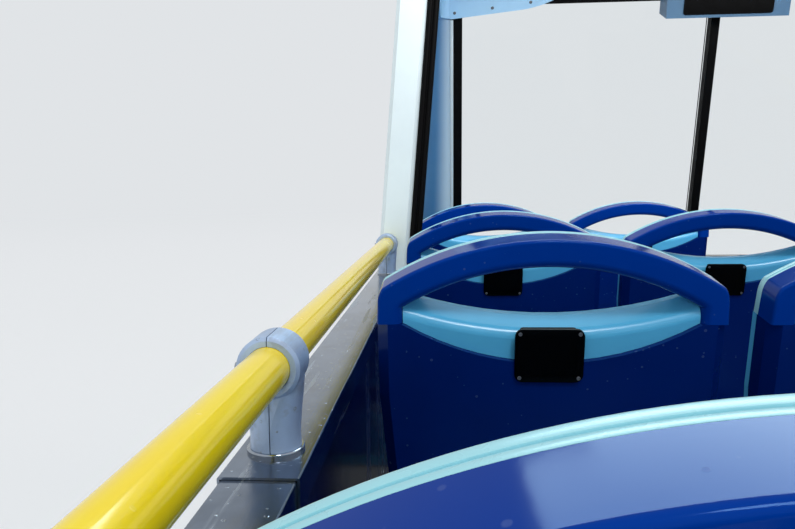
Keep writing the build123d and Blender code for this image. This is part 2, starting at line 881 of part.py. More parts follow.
single_pieces = {
    "side_members": side_members,
    "cross_members": cross_members,
    "floor_panel": floor_panel,
    "bracket_rings": bracket_rings,
    "front_panel": front_panel,
    "front_lining": front_lining,
    "corner_linings": corner_linings,
    "side_surrounds": side_surrounds,
    "rear_pillar_seals": rear_pillar_seals,
    "cantrails": cantrails,
    "windscreen_frame": windscreen_frame,
    "roof_panel": roof_panel,
    "header_lining": header_lining,
    "display_housing": display_housing,
    "display_screen": display_screen,
    "seat_covers": lambda: on_seats(seat_cover()),
    "seat_backs": lambda: on_seats(seat_back()),
    "seat_handles": lambda: on_seats(seat_handle()),
    "seat_rims": lambda: on_seats(seat_rim()),
    "seat_pans": lambda: on_seats(seat_pan()),
    "seat_cushions": lambda: on_seats(seat_cushion()),
    "seat_pads": lambda: on_seats(seat_pad()),
    "seat_frames": lambda: on_rows(seat_frame()),
}

sided_pieces = {
    "side_wall": side_wall,
    "side_lining": side_lining,
    "capping_rear": lambda side: capping(side, False),
    "capping_front": lambda side: capping(side, True),
    "handrail": handrail,
    "bracket_outer_halves": lambda side: on_brackets(bracket_half(True), side),
    "bracket_inner_halves": lambda side: on_brackets(bracket_half(False), side),
    "corner_pillar": corner_pillar,
    "rear_pillar": rear_pillar,
    "side_window_frame": side_window_frame,
    "side_window_glass": side_window_glass,
    "windscreen_glass": windscreen_pane,
}


def main():
    os.makedirs("parts", exist_ok=True)
    for name, make in single_pieces.items():
        export_step(make(), f"parts/{name}.step")
    for name, make in sided_pieces.items():
        for side, word in ((-1, "left"), (1, "right")):
            export_step(make(side), f"parts/{name}_{word}.step")


main()
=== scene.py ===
"""Dresses the front section of the upper deck of an open top double decker bus.

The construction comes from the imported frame, in metres: +Y is the direction of travel,
+X the right-hand side and +Z up. This script gives each piece its finish, models the hand
holds, cushions and pads more finely, and adds the units on the seats' backs, the screws,
seams, rivets and trim that the frame leaves out.
"""

import json
import logging
import math
from collections.abc import Callable, Iterable
from dataclasses import dataclass, field
from enum import Enum
from functools import cache

import bmesh
import bpy
from mathutils import Euler, Matrix, Vector

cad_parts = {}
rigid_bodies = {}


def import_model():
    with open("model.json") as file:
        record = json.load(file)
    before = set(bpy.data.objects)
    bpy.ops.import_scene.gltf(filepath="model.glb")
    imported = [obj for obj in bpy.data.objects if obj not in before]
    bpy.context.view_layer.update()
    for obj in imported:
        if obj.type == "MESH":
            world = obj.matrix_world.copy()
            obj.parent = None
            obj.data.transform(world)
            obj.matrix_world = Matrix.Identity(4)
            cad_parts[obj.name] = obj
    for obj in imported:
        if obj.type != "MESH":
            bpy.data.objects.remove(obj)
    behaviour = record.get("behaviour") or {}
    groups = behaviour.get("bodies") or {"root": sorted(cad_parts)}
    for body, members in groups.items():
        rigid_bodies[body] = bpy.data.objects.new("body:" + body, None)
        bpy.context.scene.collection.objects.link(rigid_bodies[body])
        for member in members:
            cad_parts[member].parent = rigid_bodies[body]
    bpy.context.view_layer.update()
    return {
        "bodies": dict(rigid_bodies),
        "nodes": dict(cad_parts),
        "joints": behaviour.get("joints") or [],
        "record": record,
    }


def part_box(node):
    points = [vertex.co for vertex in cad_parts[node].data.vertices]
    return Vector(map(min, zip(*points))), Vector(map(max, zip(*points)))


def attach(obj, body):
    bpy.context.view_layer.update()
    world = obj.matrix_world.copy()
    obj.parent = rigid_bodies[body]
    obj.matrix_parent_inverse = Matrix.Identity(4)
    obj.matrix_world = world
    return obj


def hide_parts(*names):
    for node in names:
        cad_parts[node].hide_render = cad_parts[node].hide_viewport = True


log = logging.getLogger("upper_deck")

FRAME_WIDTH = 795
BODY = "root"
SIDES = (-1, 1)
CLOTH_MAP = "cloth"

Pair = tuple[float, float]
Triple = tuple[float, float, float]
Colour = tuple[float, float, float, float]
Feed = bpy.types.NodeSocket | float | tuple


class Start(Enum):
    """The primitives that pieces are started from."""

    CUBE = "primitive_cube_add"
    CYLINDER = "primitive_cylinder_add"
    PLANE = "primitive_plane_add"


def srgb(red: int, green: int, blue: int) -> Colour:
    """Turns display values of 0 to 255 into a linear colour.

    Args:
        red: The red value.
        green: The green value.
        blue: The blue value.

    Returns:
        The linear colour with full alpha.
    """

    def linear(value: int) -> float:
        """Undoes the display curve for one value."""
        share = value / 255
        return share / 12.92 if share <= 0.04045 else ((share + 0.055) / 1.055) ** 2.4

    return (linear(red), linear(green), linear(blue), 1.0)


def fresh() -> None:
    """Leaves edit mode and deselects everything."""
    if bpy.context.mode != "OBJECT":
        bpy.ops.object.mode_set(mode="OBJECT")
    bpy.ops.object.select_all(action="DESELECT")


def select_only(piece: bpy.types.Object) -> None:
    """Makes the piece the only selected and the active one.

    Args:
        piece: The object to select.
    """
    fresh()
    piece.select_set(True)
    bpy.context.view_layer.objects.active = piece


def start(kind: Start, name: str, scale: Triple, **options: object) -> bpy.types.Object:
    """Adds a primitive, and applies its place, turn and scale to its mesh.

    Args:
        kind: The primitive to start from.
        name: The piece's name.
        scale: How much the primitive is scaled along its three axes.
        options: Further settings of the operator.

    Returns:
        The new object, unturned and unscaled.
    """
    fresh()
    getattr(bpy.ops.mesh, kind.value)(**options)
    piece = bpy.context.object
    piece.name = name
    piece.data.name = name
    piece.scale = scale
    bpy.ops.object.transform_apply(location=True, rotation=True, scale=True)
    return piece


def edit_faces(piece: bpy.types.Object, wanted: Callable[[bmesh.types.BMFace], bool]) -> None:
    """Enters edit mode with only the wanted faces selected.

    Args:
        piece: The object to edit.
        wanted: Says whether a face is to be selected.
    """
    select_only(piece)
    bpy.ops.object.mode_set(mode="EDIT")
    bpy.ops.mesh.select_mode(type="FACE")
    bpy.ops.mesh.select_all(action="DESELECT")
    mesh = bmesh.from_edit_mesh(piece.data)
    for face in mesh.faces:
        if wanted(face):
            face.select_set(True)
    bmesh.update_edit_mesh(piece.data)


def edit_edges(piece: bpy.types.Object, wanted: Callable[[bmesh.types.BMEdge], bool]) -> None:
    """Enters edit mode with only the wanted edges selected.

    Args:
        piece: The object to edit.
        wanted: Says whether an edge is to be selected.
    """
    select_only(piece)
    bpy.ops.object.mode_set(mode="EDIT")
    bpy.ops.mesh.select_mode(type="EDGE")
    bpy.ops.mesh.select_all(action="DESELECT")
    mesh = bmesh.from_edit_mesh(piece.data)
    for edge in mesh.edges:
        if wanted(edge):
            edge.select_set(True)
    bmesh.update_edit_mesh(piece.data)


def cut_off(piece: bpy.types.Object, point: Triple, normal: Triple) -> None:
    """Cuts away what lies beyond a plane, and closes the cut.

    Args:
        piece: The object to cut.
        point: A point of the plane.
        normal: The direction in which the piece is cut away.
    """
    edit_faces(piece, lambda face: True)
    bpy.ops.mesh.bisect(plane_co=point, plane_no=normal, use_fill=True, clear_outer=True)
    fresh()


def apply_modifier(piece: bpy.types.Object, kind: str, **settings: object) -> None:
    """Adds a modifier to the piece and applies it.

    Args:
        piece: The object to change.
        kind: The modifier's type.
        settings: Its settings.
    """
    select_only(piece)
    modifier = piece.modifiers.new(kind.title(), kind)
    for key, value in settings.items():
        setattr(modifier, key, value)
    bpy.ops.object.modifier_apply(modifier=modifier.name)


def outward(piece: bpy.types.Object) -> None:
    """Makes the normals of a closed piece point outwards.

    Args:
        piece: The closed piece.
    """
    edit_faces(piece, lambda face: True)
    bpy.ops.mesh.normals_make_consistent(inside=False)
    fresh()


def smooth(piece: bpy.types.Object, degrees: float = 35.0) -> None:
    """Shades the piece smooth across its gentle edges."""
    select_only(piece)
    bpy.ops.object.shade_smooth_by_angle(angle=math.radians(degrees))


def smooth_by_area(piece: bpy.types.Object, degrees: float = 35.0) -> None:
    """Shades the piece smooth, and keeps the reflections on its broad faces true beside narrow rounds."""
    smooth(piece, degrees)
    apply_modifier(piece, "WEIGHTED_NORMAL", keep_sharp=True)


def copies(piece: bpy.types.Object, places: Iterable[Matrix]) -> list[bpy.types.Object]:
    """Makes one copy of the piece at each place, and takes the first one away.

    Args:
        piece: The modelled piece, at the origin.
        places: Where each copy goes.

    Returns:
        The copies, each with its own mesh.
    """
    made = []
    for index, place in enumerate(places):
        copy = piece.copy()
        copy.data = piece.data.copy()
        copy.name = copy.data.name = f"{piece.name}_{index + 1}"
        copy.data.transform(place)
        if place.determinant() < 0:
            copy.data.flip_normals()
        bpy.context.scene.collection.objects.link(copy)
        made.append(copy)
    bpy.data.objects.remove(piece)
    return made


def joined(pieces: list[bpy.types.Object], name: str) -> bpy.types.Object:
    """Joins the pieces into one mesh.

    Args:
        pieces: The objects to join.
        name: The name of the result.

    Returns:
        The joined object.
    """
    fresh()
    for piece in pieces:
        piece.select_set(True)
    bpy.context.view_layer.objects.active = pieces[0]
    if len(pieces) > 1:
        bpy.ops.object.join()
    whole = bpy.context.view_layer.objects.active
    whole.name = name
    whole.data.name = name
    return whole


def facing(point: Triple, normal: Triple) -> Matrix:
    """The place of a small piece whose -Y side looks along a normal.

    Args:
        point: Where its origin goes.
        normal: The direction that its -Y side looks in.

    Returns:
        The matrix.
    """
    return Matrix.Translation(point) @ Vector(normal).to_track_quat("-Y", "Z").to_matrix().to_4x4()


def along(low: Vector, high: Vector, normal: Vector) -> Matrix:
    """The place of a bar whose local Z runs from low to high and whose -Y side looks along a normal.

    Args:
        low: The lower end.
        high: The upper end.
        normal: The direction that the bar's -Y side looks in, as near as can be.

    Returns:
        The matrix, with its origin half-way between the ends.
    """
    rise = (high - low).normalized()
    side = (-normal).cross(rise).normalized()
    depth = rise.cross(side)
    turn = Matrix((side, depth, rise)).transposed().to_4x4()
    return Matrix.Translation((low + high) / 2) @ turn


def rounded_plate(
    name: str, width: float, height: float, corner: float, thickness: float, bevel: float
) -> bpy.types.Object:
    """Models a plate with rounded corners, its back at y = 0 and its front facing -Y.

    Args:
        name: The piece's name.
        width: Its size along X.
        height: Its size along Z.
        corner: The radius of its corners.
        thickness: Its thickness.
        bevel: The width of the bevel round its front.

    Returns:
        The plate.
    """
    plate = start(Start.PLANE, name, (width, height, 1), size=1, rotation=(math.pi / 2, 0, 0))
    edit_faces(plate, lambda face: True)
    bpy.ops.mesh.select_mode(type="VERT")
    bpy.ops.mesh.bevel(offset=corner, segments=5, affect="VERTICES")
    bpy.ops.mesh.select_all(action="SELECT")
    bpy.ops.mesh.extrude_region_move(TRANSFORM_OT_translate={"value": (0, -thickness, 0)})
    edit_faces(plate, lambda face: face.calc_center_median().y < -thickness * 0.9)
    bpy.ops.mesh.bevel(offset=bevel, segments=2, affect="EDGES")
    outward(plate)
    smooth(plate)
    return plate


def bar(name: str, length: float, width: float, depth: float, bevel: float) -> bpy.types.Object:
    """Models a bevelled bar along Z, centred on the origin, its back at y = 0.

    Args:
        name: The piece's name.
        length: Its size along Z.
        width: Its size along X.
        depth: Its size along Y, towards -Y.
        bevel: The width of its bevel.

    Returns:
        The bar.
    """
    strip = start(Start.CUBE, name, (width, depth, length), size=1, location=(0, -depth / 2, 0))
    apply_modifier(strip, "BEVEL", width=bevel, segments=2, limit_method="ANGLE")
    smooth(strip)
    return strip


def round_block(
    name: str, radius: float, low_y: float, high_y: float, facets: int, middle_z: float = 0.0
) -> bpy.types.Object:
    """Models a cylinder along Y.

    Args:
        name: The piece's name.
        radius: Its radius.
        low_y: Where it starts.
        high_y: Where it ends.
        facets: How many sides it has.
        middle_z: The height of its axis.

    Returns:
        The cylinder.
    """
    return start(
        Start.CYLINDER,
        name,
        (1, 1, 1),
        vertices=facets,
        radius=radius,
        depth=high_y - low_y,
        location=(0, (low_y + high_y) / 2, middle_z),
        rotation=(math.pi / 2, 0, 0),
    )


def is_front(face: bmesh.types.BMFace) -> bool:
    """Whether a face looks along -Y."""
    return face.normal.y < -0.9


def is_cap(face: bmesh.types.BMFace) -> bool:
    """Whether a face is the many-sided front of a piece, and not one of its small facets."""
    return is_front(face) and len(face.verts) > 8


def socket_screw(name: str, radius: float, height: float) -> bpy.types.Object:
    """Models a domed screw head with a hexagon socket, standing on y = 0 and facing -Y.

    Args:
        name: The piece's name.
        radius: The radius of the head.
        height: Its height.

    Returns:
        The screw head.
    """
    dome, socket_rim, socket_depth = height * 0.45, radius * 0.2, height * 0.5
    screw = round_block(name, radius, -height, 0.0, facets=18)
    edit_faces(screw, is_front)
    bpy.ops.mesh.bevel(offset=dome, segments=2, affect="EDGES")
    edit_faces(screw, is_cap)
    bpy.ops.mesh.inset(thickness=socket_rim)
    bpy.ops.mesh.extrude_region_move(TRANSFORM_OT_translate={"value": (0, socket_depth, 0)})
    outward(screw)
    smooth(screw)
    return screw


def put(piece: bpy.types.Object, finish: "Finish") -> bpy.types.Object:
    """Gives a new piece its finish and slot, and sets it to ride on the section.

    Args:
        piece: The finished object.
        finish: What it is made of.

    Returns:
        The same object.
    """
    piece.data.materials.clear()
    piece.data.materials.append(finish.material())
    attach(piece, BODY)
    faces = len(piece.data.polygons)
    log.info("%s: %d faces, %s", piece.name, faces, finish.slot)
    return piece


def scatter(
    piece: bpy.types.Object, places: Iterable[Matrix], name: str, finish: "Finish"
) -> bpy.types.Object:
    """Sets copies of a piece, joined into one, with their finish."""
    return put(joined(copies(piece, places), name), finish)


class Graph:
    """A thin hand for building node trees."""

    def __init__(self, tree: bpy.types.NodeTree) -> None:
        """Starts on a tree."""
        self.tree = tree

    def node(self, kind: str, inputs: dict | None = None, **settings: object) -> bpy.types.Node:
        """Adds a node.

        Args:
            kind: The node's type name, less its "ShaderNode" prefix.
            inputs: Values or sockets for its inputs, by name or index.
            settings: Properties of the node.

        Returns:
            The node.
        """
        node = self.tree.nodes.new(f"ShaderNode{kind}")
        for key, value in settings.items():
            setattr(node, key, value)
        for key, value in (inputs or {}).items():
            if isinstance(value, bpy.types.NodeSocket):
                self.tree.links.new(value, node.inputs[key])
            else:
                node.inputs[key].default_value = value
        return node

    def math(self, operation: str, *values: Feed, clamp: bool = False) -> bpy.types.NodeSocket:
        """Adds a math node and gives its result."""
        node = self.node("Math", dict(enumerate(values)), operation=operation, use_clamp=clamp)
        return node.outputs[0]

    def mix(self, share: Feed, first: Feed, second: Feed) -> bpy.types.NodeSocket:
        """Mixes two colours and gives the result."""
        node = self.node("Mix", {0: share, 6: first, 7: second}, data_type="RGBA")
        return node.outputs[2]

    def noise(
        self, vector: Feed, scale: Feed, detail: float = 3.0, rough: float = 0.5
    ) -> bpy.types.NodeSocket:
        """Adds noise and gives its value."""
        inputs = {"Vector": vector, "Scale": scale, "Detail": detail, "Roughness": rough}
        return self.node("TexNoise", inputs).outputs[0]

    def ramp(self, value: Feed, low: float, high: float) -> bpy.types.NodeSocket:
        """Maps a value from between low and high to between 0 and 1, smoothly."""
        inputs = {"Value": value, "From Min": low, "From Max": high}
        return self.node("MapRange", inputs, interpolation_type="SMOOTHSTEP").outputs[0]

    def object_place(self) -> bpy.types.NodeSocket:
        """The object coordinates."""
        return self.node("TexCoord").outputs["Object"]

    def stretched(self, scale: Triple, turn: float = 0.0) -> bpy.types.NodeSocket:
        """Object coordinates, scaled apart along the axes and turned about Z."""
        inputs = {"Vector": self.object_place(), "Scale": scale, "Rotation": (0, 0, turn)}
        return self.node("Mapping", inputs).outputs[0]


SOCKET_KINDS = {float: "NodeSocketFloat", tuple: "NodeSocketColor", Vector: "NodeSocketVector"}


def shader_group(
    name: str, inputs: dict, outputs: dict
) -> tuple[bpy.types.NodeTree, Graph, dict, bpy.types.Node]:
    """Makes an empty node group with named sockets.

    Args:
        name: The group's name.
        inputs: The default value of each input.
        outputs: An example value of each output.

    Returns:
        The tree, a hand on it, its input sockets by name, and its output node.
    """
    tree = bpy.data.node_groups.new(name, "ShaderNodeTree")
    for word, value in inputs.items():
        socket = tree.interface.new_socket(word, in_out="INPUT", socket_type=SOCKET_KINDS[type(value)])
        socket.default_value = value
    for word, value in outputs.items():
        tree.interface.new_socket(word, in_out="OUTPUT", socket_type=SOCKET_KINDS[type(value)])
    graph = Graph(tree)
    entry = tree.nodes.new("NodeGroupInput")
    leave = tree.nodes.new("NodeGroupOutput")
    return tree, graph, {word: entry.outputs[word] for word in inputs}, leave


class Effects:
    """The node groups that several finishes share, each built once."""

    def __init__(self) -> None:
        """Builds every group."""
        self.tone = self.tone_group()
        self.relief = self.relief_group()
        self.marks = self.marks_group()
        self.hairlines = self.hairline_group()
        self.streaks = self.streak_group()

    @staticmethod
    def tone_group() -> bpy.types.NodeTree:
        """Slow changes of colour and roughness over a surface.

        Returns:
            The group's tree.
        """
        tree, graph, entry, leave = shader_group(
            "Tone Variation",
            {
                "Color": (0.5, 0.5, 0.5, 1.0),
                "Shade": (0.4, 0.4, 0.4, 1.0),
                "Scale": 6.0,
                "Amount": 0.5,
                "Roughness": 0.4,
                "Spread": 0.1,
            },
            {"Color": (0.0, 0.0, 0.0, 1.0), "Roughness": 0.0},
        )
        place = graph.object_place()
        times_finer = 9.0
        slow = graph.noise(place, entry["Scale"], detail=5.0, rough=0.6)
        narrow = graph.math("MULTIPLY", entry["Scale"], times_finer)
        fine = graph.noise(place, narrow, detail=4.0, rough=0.6)
        share = graph.math("MULTIPLY", graph.ramp(slow, low=0.35, high=0.7), entry["Amount"])
        colour = graph.mix(share, entry["Color"], entry["Shade"])
        offset = graph.math("MULTIPLY", graph.math("SUBTRACT", fine, 0.5), entry["Spread"])
        rough = graph.math("ADD", entry["Roughness"], offset, clamp=True)
        tree.links.new(colour, leave.inputs["Color"])
        tree.links.new(rough, leave.inputs["Roughness"])
        return tree

    @staticmethod
    def relief_group() -> bpy.types.NodeTree:
        """A fine all-over relief, such as moulded grain or the skin of sprayed paint.

        Returns:
            The group's tree.
        """
        tree, graph, entry, leave = shader_group(
            "Fine Relief", {"Scale": 300.0, "Depth": 0.5}, {"Height": 0.0}
        )
        grain = graph.noise(graph.object_place(), entry["Scale"], detail=2.0)
        tree.links.new(graph.math("MULTIPLY", grain, entry["Depth"]), leave.inputs["Height"])
        return tree

    @staticmethod
    def marks_group() -> bpy.types.NodeTree:
        """Dried drops: scattered round marks, and their rims.

        Returns:
            The group's tree.
        """
        tree, graph, entry, leave = shader_group(
            "Dried Drops", {"Scale": 60.0, "Share": 0.35}, {"Mask": 0.0, "Rim": 0.0}
        )
        cells = graph.node("TexVoronoi", {"Vector": graph.object_place(), "Scale": entry["Scale"]})
        pick = graph.node("SeparateColor", {0: cells.outputs["Color"]})
        present = graph.math("LESS_THAN", pick.outputs[0], entry["Share"])
        smallest, spread = 0.08, 0.22
        size = graph.math("MULTIPLY_ADD", pick.outputs[1], spread, smallest)
        reach = graph.math("DIVIDE", cells.outputs["Distance"], size)
        disc = graph.math("SUBTRACT", 1.0, graph.ramp(reach, low=0.75, high=1.05))
        rim = graph.math("MULTIPLY", disc, graph.ramp(reach, low=0.55, high=0.9))
        tree.links.new(graph.math("MULTIPLY", disc, present), leave.inputs["Mask"])
        tree.links.new(graph.math("MULTIPLY", rim, present), leave.inputs["Rim"])
        return tree

    @staticmethod
    def hairline_group() -> bpy.types.NodeTree:
        """Long fine scratches along the axis on which the vector given is scaled least.

        Returns:
            The group's tree.
        """
        tree, graph, entry, leave = shader_group(
            "Hairlines", {"Vector": Vector((0, 0, 0)), "Scale": 1.0}, {"Height": 0.0, "Mask": 0.0}
        )
        times_coarser = 0.23
        lines = graph.noise(entry["Vector"], entry["Scale"], detail=6.0, rough=0.7)
        broad = graph.math("MULTIPLY", entry["Scale"], times_coarser)
        coarse = graph.noise(entry["Vector"], broad, rough=0.6)
        tree.links.new(lines, leave.inputs["Height"])
        tree.links.new(graph.ramp(coarse, low=0.58, high=0.68), leave.inputs["Mask"])
        return tree

    @staticmethod
    def streak_group() -> bpy.types.NodeTree:
        """Faint upright streaks of painted reflection on a wall.

        Returns:
            The group's tree.
        """
        tree, graph, entry, leave = shader_group("Painted Reflection Streaks", {"Amount": 0.5}, {"Mask": 0.0})
        # Painted reflection: lighter upright marks that stand in for reflections.
        place = graph.stretched((14.0, 14.0, 0.9))
        reflection_streak = graph.ramp(graph.noise(place, 1.6, detail=5.0, rough=0.65), low=0.5, high=0.72)
        tree.links.new(graph.math("MULTIPLY", reflection_streak, entry["Amount"]), leave.inputs["Mask"])
        return tree


@cache
def effects() -> Effects:
    """The shared groups, built at the first call."""
    return Effects()


@dataclass(frozen=True)
class Finish:
    """What a piece is made of: the record's slot and the look of its surface."""

    slot: str
    colour: Colour
    shade: Colour
    roughness: float = 0.35
    spread: float = 0.12
    scale: float = 5.0
    amount: float = 0.5
    grain: float = 260.0
    grain_depth: float = 0.2
    metallic: float = 0.0
    coat: float = 0.0
    coat_roughness: float = 0.06
    specular: float = 0.5
    tint: Colour = (1.0, 1.0, 1.0, 1.0)
    bump: float = 0.35
    bump_depth: float = 0.0004
    variant: str = ""

    def material(self) -> bpy.types.Material:
        """Gives the material of this finish, built at the first call.

        Returns:
            The material.
        """
        name = f"{self.slot} {self.variant}".replace("_", " ").strip()
        known = bpy.data.materials.get(name)
        if known is not None:
            return known
        material = bpy.data.materials.new(name)
        material.use_nodes = True
        material.node_tree.nodes.clear()
        graph = Graph(material.node_tree)
        shader = self.shader(graph)
        graph.node("OutputMaterial", {"Surface": shader})
        return material

    def toned(self, graph: Graph) -> bpy.types.Node:
        """Adds the tone group with this finish's values.

        Args:
            graph: The material's tree.

        Returns:
            The group's node.
        """
        values = {
            "Color": self.colour,
            "Shade": self.shade,
            "Scale": self.scale,
            "Amount": self.amount,
            "Roughness": self.roughness,
            "Spread": self.spread,
        }
        return graph.node("Group", values, node_tree=effects().tone)

    def grained(self, graph: Graph) -> bpy.types.NodeSocket:
        """Adds the relief group with this finish's values and gives its height."""
        values = {"Scale": self.grain, "Depth": self.grain_depth}
        return graph.node("Group", values, node_tree=effects().relief).outputs["Height"]

    def principled(self, graph: Graph, colour: Feed, rough: Feed, height: Feed) -> bpy.types.Node:
        """Adds the surface shader.

        Args:
            graph: The material's tree.
            colour: The socket or value of the colour.
            rough: The socket or value of the roughness.
            height: The socket of the relief.

        Returns:
            The shader node.
        """
        bump = graph.node("Bump", {"Height": height, "Strength": self.bump, "Distance": self.bump_depth})
        return graph.node(
            "BsdfPrincipled",
            {
                "Base Color": colour,
                "Roughness": rough,
                "Metallic": self.metallic,
                "Coat Weight": self.coat,
                "Coat Roughness": self.coat_roughness,
                "Specular IOR Level": self.specular,
                "Specular Tint": self.tint,
                "Normal": bump.outputs[0],
            },
        )

    def shader(self, graph: Graph) -> bpy.types.NodeSocket:
        """Builds the surface.

        Args:
            graph: The material's tree.

        Returns:
            The socket of the shader.
        """
        tone = self.toned(graph)
        height = self.grained(graph)
        return self.principled(graph, tone.outputs["Color"], tone.outputs["Roughness"], height).outputs[0]


@dataclass(frozen=True)
class SpottedPlastic(Finish):
    """Gloss moulding or paint with dried drops on it."""

    drop_scale: float = 70.0
    drop_share: float = 0.3
    drop_colour: Colour = srgb(150, 165, 190)
    drop_strength: float = 0.12
    drop_dullness: float = 0.14
    drop_rim: float = 0.25
    bump: float = 0.3
    bump_depth: float = 0.0003

    def shader(self, graph: Graph) -> bpy.types.NodeSocket:
        """Builds the surface.

        Args:
            graph: The material's tree.

        Returns:
            The socket of the shader.
        """
        tone = self.toned(graph)
        values = {"Scale": self.drop_scale, "Share": self.drop_share}
        drops = graph.node("Group", values, node_tree=effects().marks)
        share = graph.math("MULTIPLY", drops.outputs["Mask"], self.drop_strength)
        colour = graph.mix(share, tone.outputs["Color"], self.drop_colour)
        clean = tone.outputs["Roughness"]
        rough = graph.math("MULTIPLY_ADD", drops.outputs["Mask"], self.drop_dullness, clean)
        height = graph.math("MULTIPLY_ADD", drops.outputs["Rim"], self.drop_rim, self.grained(graph))
        return self.principled(graph, colour, rough, height).outputs[0]


@dataclass(frozen=True)
class PaintedLightLining(Finish):
    """A lining painted deep blue at the pillar, as painted shade, and pale towards the windscreen, as
    painted light.
    """

    # Painted light: the pale colour towards the windscreen.
    painted_light: Colour = srgb(206, 228, 240)
    pillar_x: float = 1.120
    screen_x: float = 1.045
    lean: float = 0.032
    level_z: float = 1.0

    def shader(self, graph: Graph) -> bpy.types.NodeSocket:
        """Builds the surface.

        Args:
            graph: The material's tree.

        Returns:
            The socket of the shader.
        """
        tone = self.toned(graph)
        # Painted shade and light: deep blue at the pillar, pale towards the windscreen, with the border
        # leaning with height.
        place = graph.node("SeparateXYZ", {0: graph.object_place()})
        rise = graph.math("SUBTRACT", place.outputs["Z"], self.level_z)
        reach = graph.math("MULTIPLY_ADD", rise, self.lean, graph.math("ABSOLUTE", place.outputs["X"]))
        share = graph.math("SUBTRACT", 1.0, graph.ramp(reach, self.screen_x, self.pillar_x))
        colour = graph.mix(share, tone.outputs["Color"], self.painted_light)
        return self.principled(graph, colour, tone.outputs["Roughness"], self.grained(graph)).outputs[0]


@dataclass(frozen=True)
class ReflectionStreakedPanel(Finish):
    """A dark gloss lining with faint upright streaks of painted reflection."""

    # The colour of the painted reflection streaks.
    reflection_streak: Colour = srgb(45, 62, 105)
    streak_amount: float = 0.75
    streak_dullness: float = 0.2
    bump: float = 0.3

    def shader(self, graph: Graph) -> bpy.types.NodeSocket:
        """Builds the surface.

        Args:
            graph: The material's tree.

        Returns:
            The socket of the shader.
        """
        tone = self.toned(graph)
        # Painted reflection: lighter blue upright streaks over the dark lining, which are also duller
        # where they lie.
        painted_reflection_mask = graph.node("Group", {"Amount": self.streak_amount}, node_tree=effects().streaks)
        colour = graph.mix(painted_reflection_mask.outputs["Mask"], tone.outputs["Color"], self.reflection_streak)
        clean = tone.outputs["Roughness"]
        rough = graph.math("MULTIPLY_ADD", painted_reflection_mask.outputs["Mask"], self.streak_dullness, clean)
        return self.principled(graph, colour, rough, self.grained(graph)).outputs[0]


@dataclass(frozen=True)
class BrushedMetal(Finish):
    """Metal with hairlines, clouded stains, dried drops and crossing scratches."""

    lines: Triple = (900.0, 9.0, 900.0)
    stain: Colour = srgb(120, 118, 110)
    spot: Colour = srgb(120, 118, 110)
    wet: float = 0.5
    crossing: Triple = (260.0, 14.0, 260.0)
    crossing_turn: float = 0.5
    drop_scale: float = 150.0
    stain_stretch: Triple = (34.0, 9.0, 34.0)
    stain_share: float = 0.45
    rim_share: float = 0.8
    scratch_share: float = 0.25
    scratch_dullness: float = 0.16
    drop_gloss: float = 0.12
    bump: float = 0.4
    bump_depth: float = 0.0005

    def shader(self, graph: Graph) -> bpy.types.NodeSocket:
        """Builds the surface.

        Args:
            graph: The material's tree.

        Returns:
            The socket of the shader.
        """
        tone = self.toned(graph)
        hair = self.scratches(graph, graph.stretched(self.lines))
        crossing = self.scratches(graph, graph.stretched(self.crossing, self.crossing_turn))
        values = {"Scale": self.drop_scale, "Share": self.wet}
        drops = graph.node("Group", values, node_tree=effects().marks)
        clouds = graph.noise(graph.stretched(self.stain_stretch), 1.0, detail=5.0, rough=0.7)
        colour = tone.outputs["Color"]
        for mask, share, shown in (
            (graph.ramp(clouds, low=0.45, high=0.75), self.stain_share, self.stain),
            (drops.outputs["Rim"], self.rim_share, self.spot),
            (crossing.outputs["Mask"], self.scratch_share, self.spot),
        ):
            colour = graph.mix(graph.math("MULTIPLY", mask, share), colour, shown)
        dull = graph.math("MULTIPLY", crossing.outputs["Mask"], self.scratch_dullness)
        rough = graph.math("ADD", tone.outputs["Roughness"], dull)
        rough = graph.math("MULTIPLY_ADD", drops.outputs["Mask"], -self.drop_gloss, rough, clamp=True)
        hair_height, crossing_height = 0.35, 0.2
        height = graph.math("MULTIPLY_ADD", hair.outputs["Height"], hair_height, drops.outputs["Mask"])
        height = graph.math("MULTIPLY_ADD", crossing.outputs["Height"], crossing_height, height)
        return self.principled(graph, colour, rough, height).outputs[0]

    @staticmethod
    def scratches(graph: Graph, vector: bpy.types.NodeSocket) -> bpy.types.Node:
        """Adds the hairline group along a vector."""
        return graph.node("Group", {"Vector": vector}, node_tree=effects().hairlines)


@dataclass(frozen=True)
class ClearGlass(Finish):
    """A window pane, clear to shadows, with a faint film of dust."""

    index: float = 1.15
    film_scale: float = 7.0
    clean_roughness: float = 0.01
    film_roughness: float = 0.05
    bump: float = 0.05
    bump_depth: float = 0.0002

    def shader(self, graph: Graph) -> bpy.types.NodeSocket:
        """Builds the surface.

        Args:
            graph: The material's tree.

        Returns:
            The socket of the shader.
        """
        clouds = graph.noise(graph.object_place(), self.film_scale, detail=5.0, rough=0.65)
        film = graph.ramp(clouds, low=0.4, high=0.8)
        rough = graph.math("MULTIPLY_ADD", film, self.film_roughness, self.clean_roughness)
        values = {"Height": self.grained(graph), "Strength": self.bump, "Distance": self.bump_depth}
        bump = graph.node("Bump", values)
        glass = graph.node(
            "BsdfPrincipled",
            {
                "Base Color": self.colour,
                "Roughness": rough,
                "Metallic": 0.0,
                "Transmission Weight": 1.0,
                "IOR": self.index,
                "Normal": bump.outputs[0],
            },
        )
        clear = graph.node("BsdfTransparent", {"Color": self.colour})
        light = graph.node("LightPath")
        inputs = {0: light.outputs["Is Shadow Ray"], 1: glass.outputs[0], 2: clear.outputs[0]}
        return graph.node("MixShader", inputs).outputs[0]


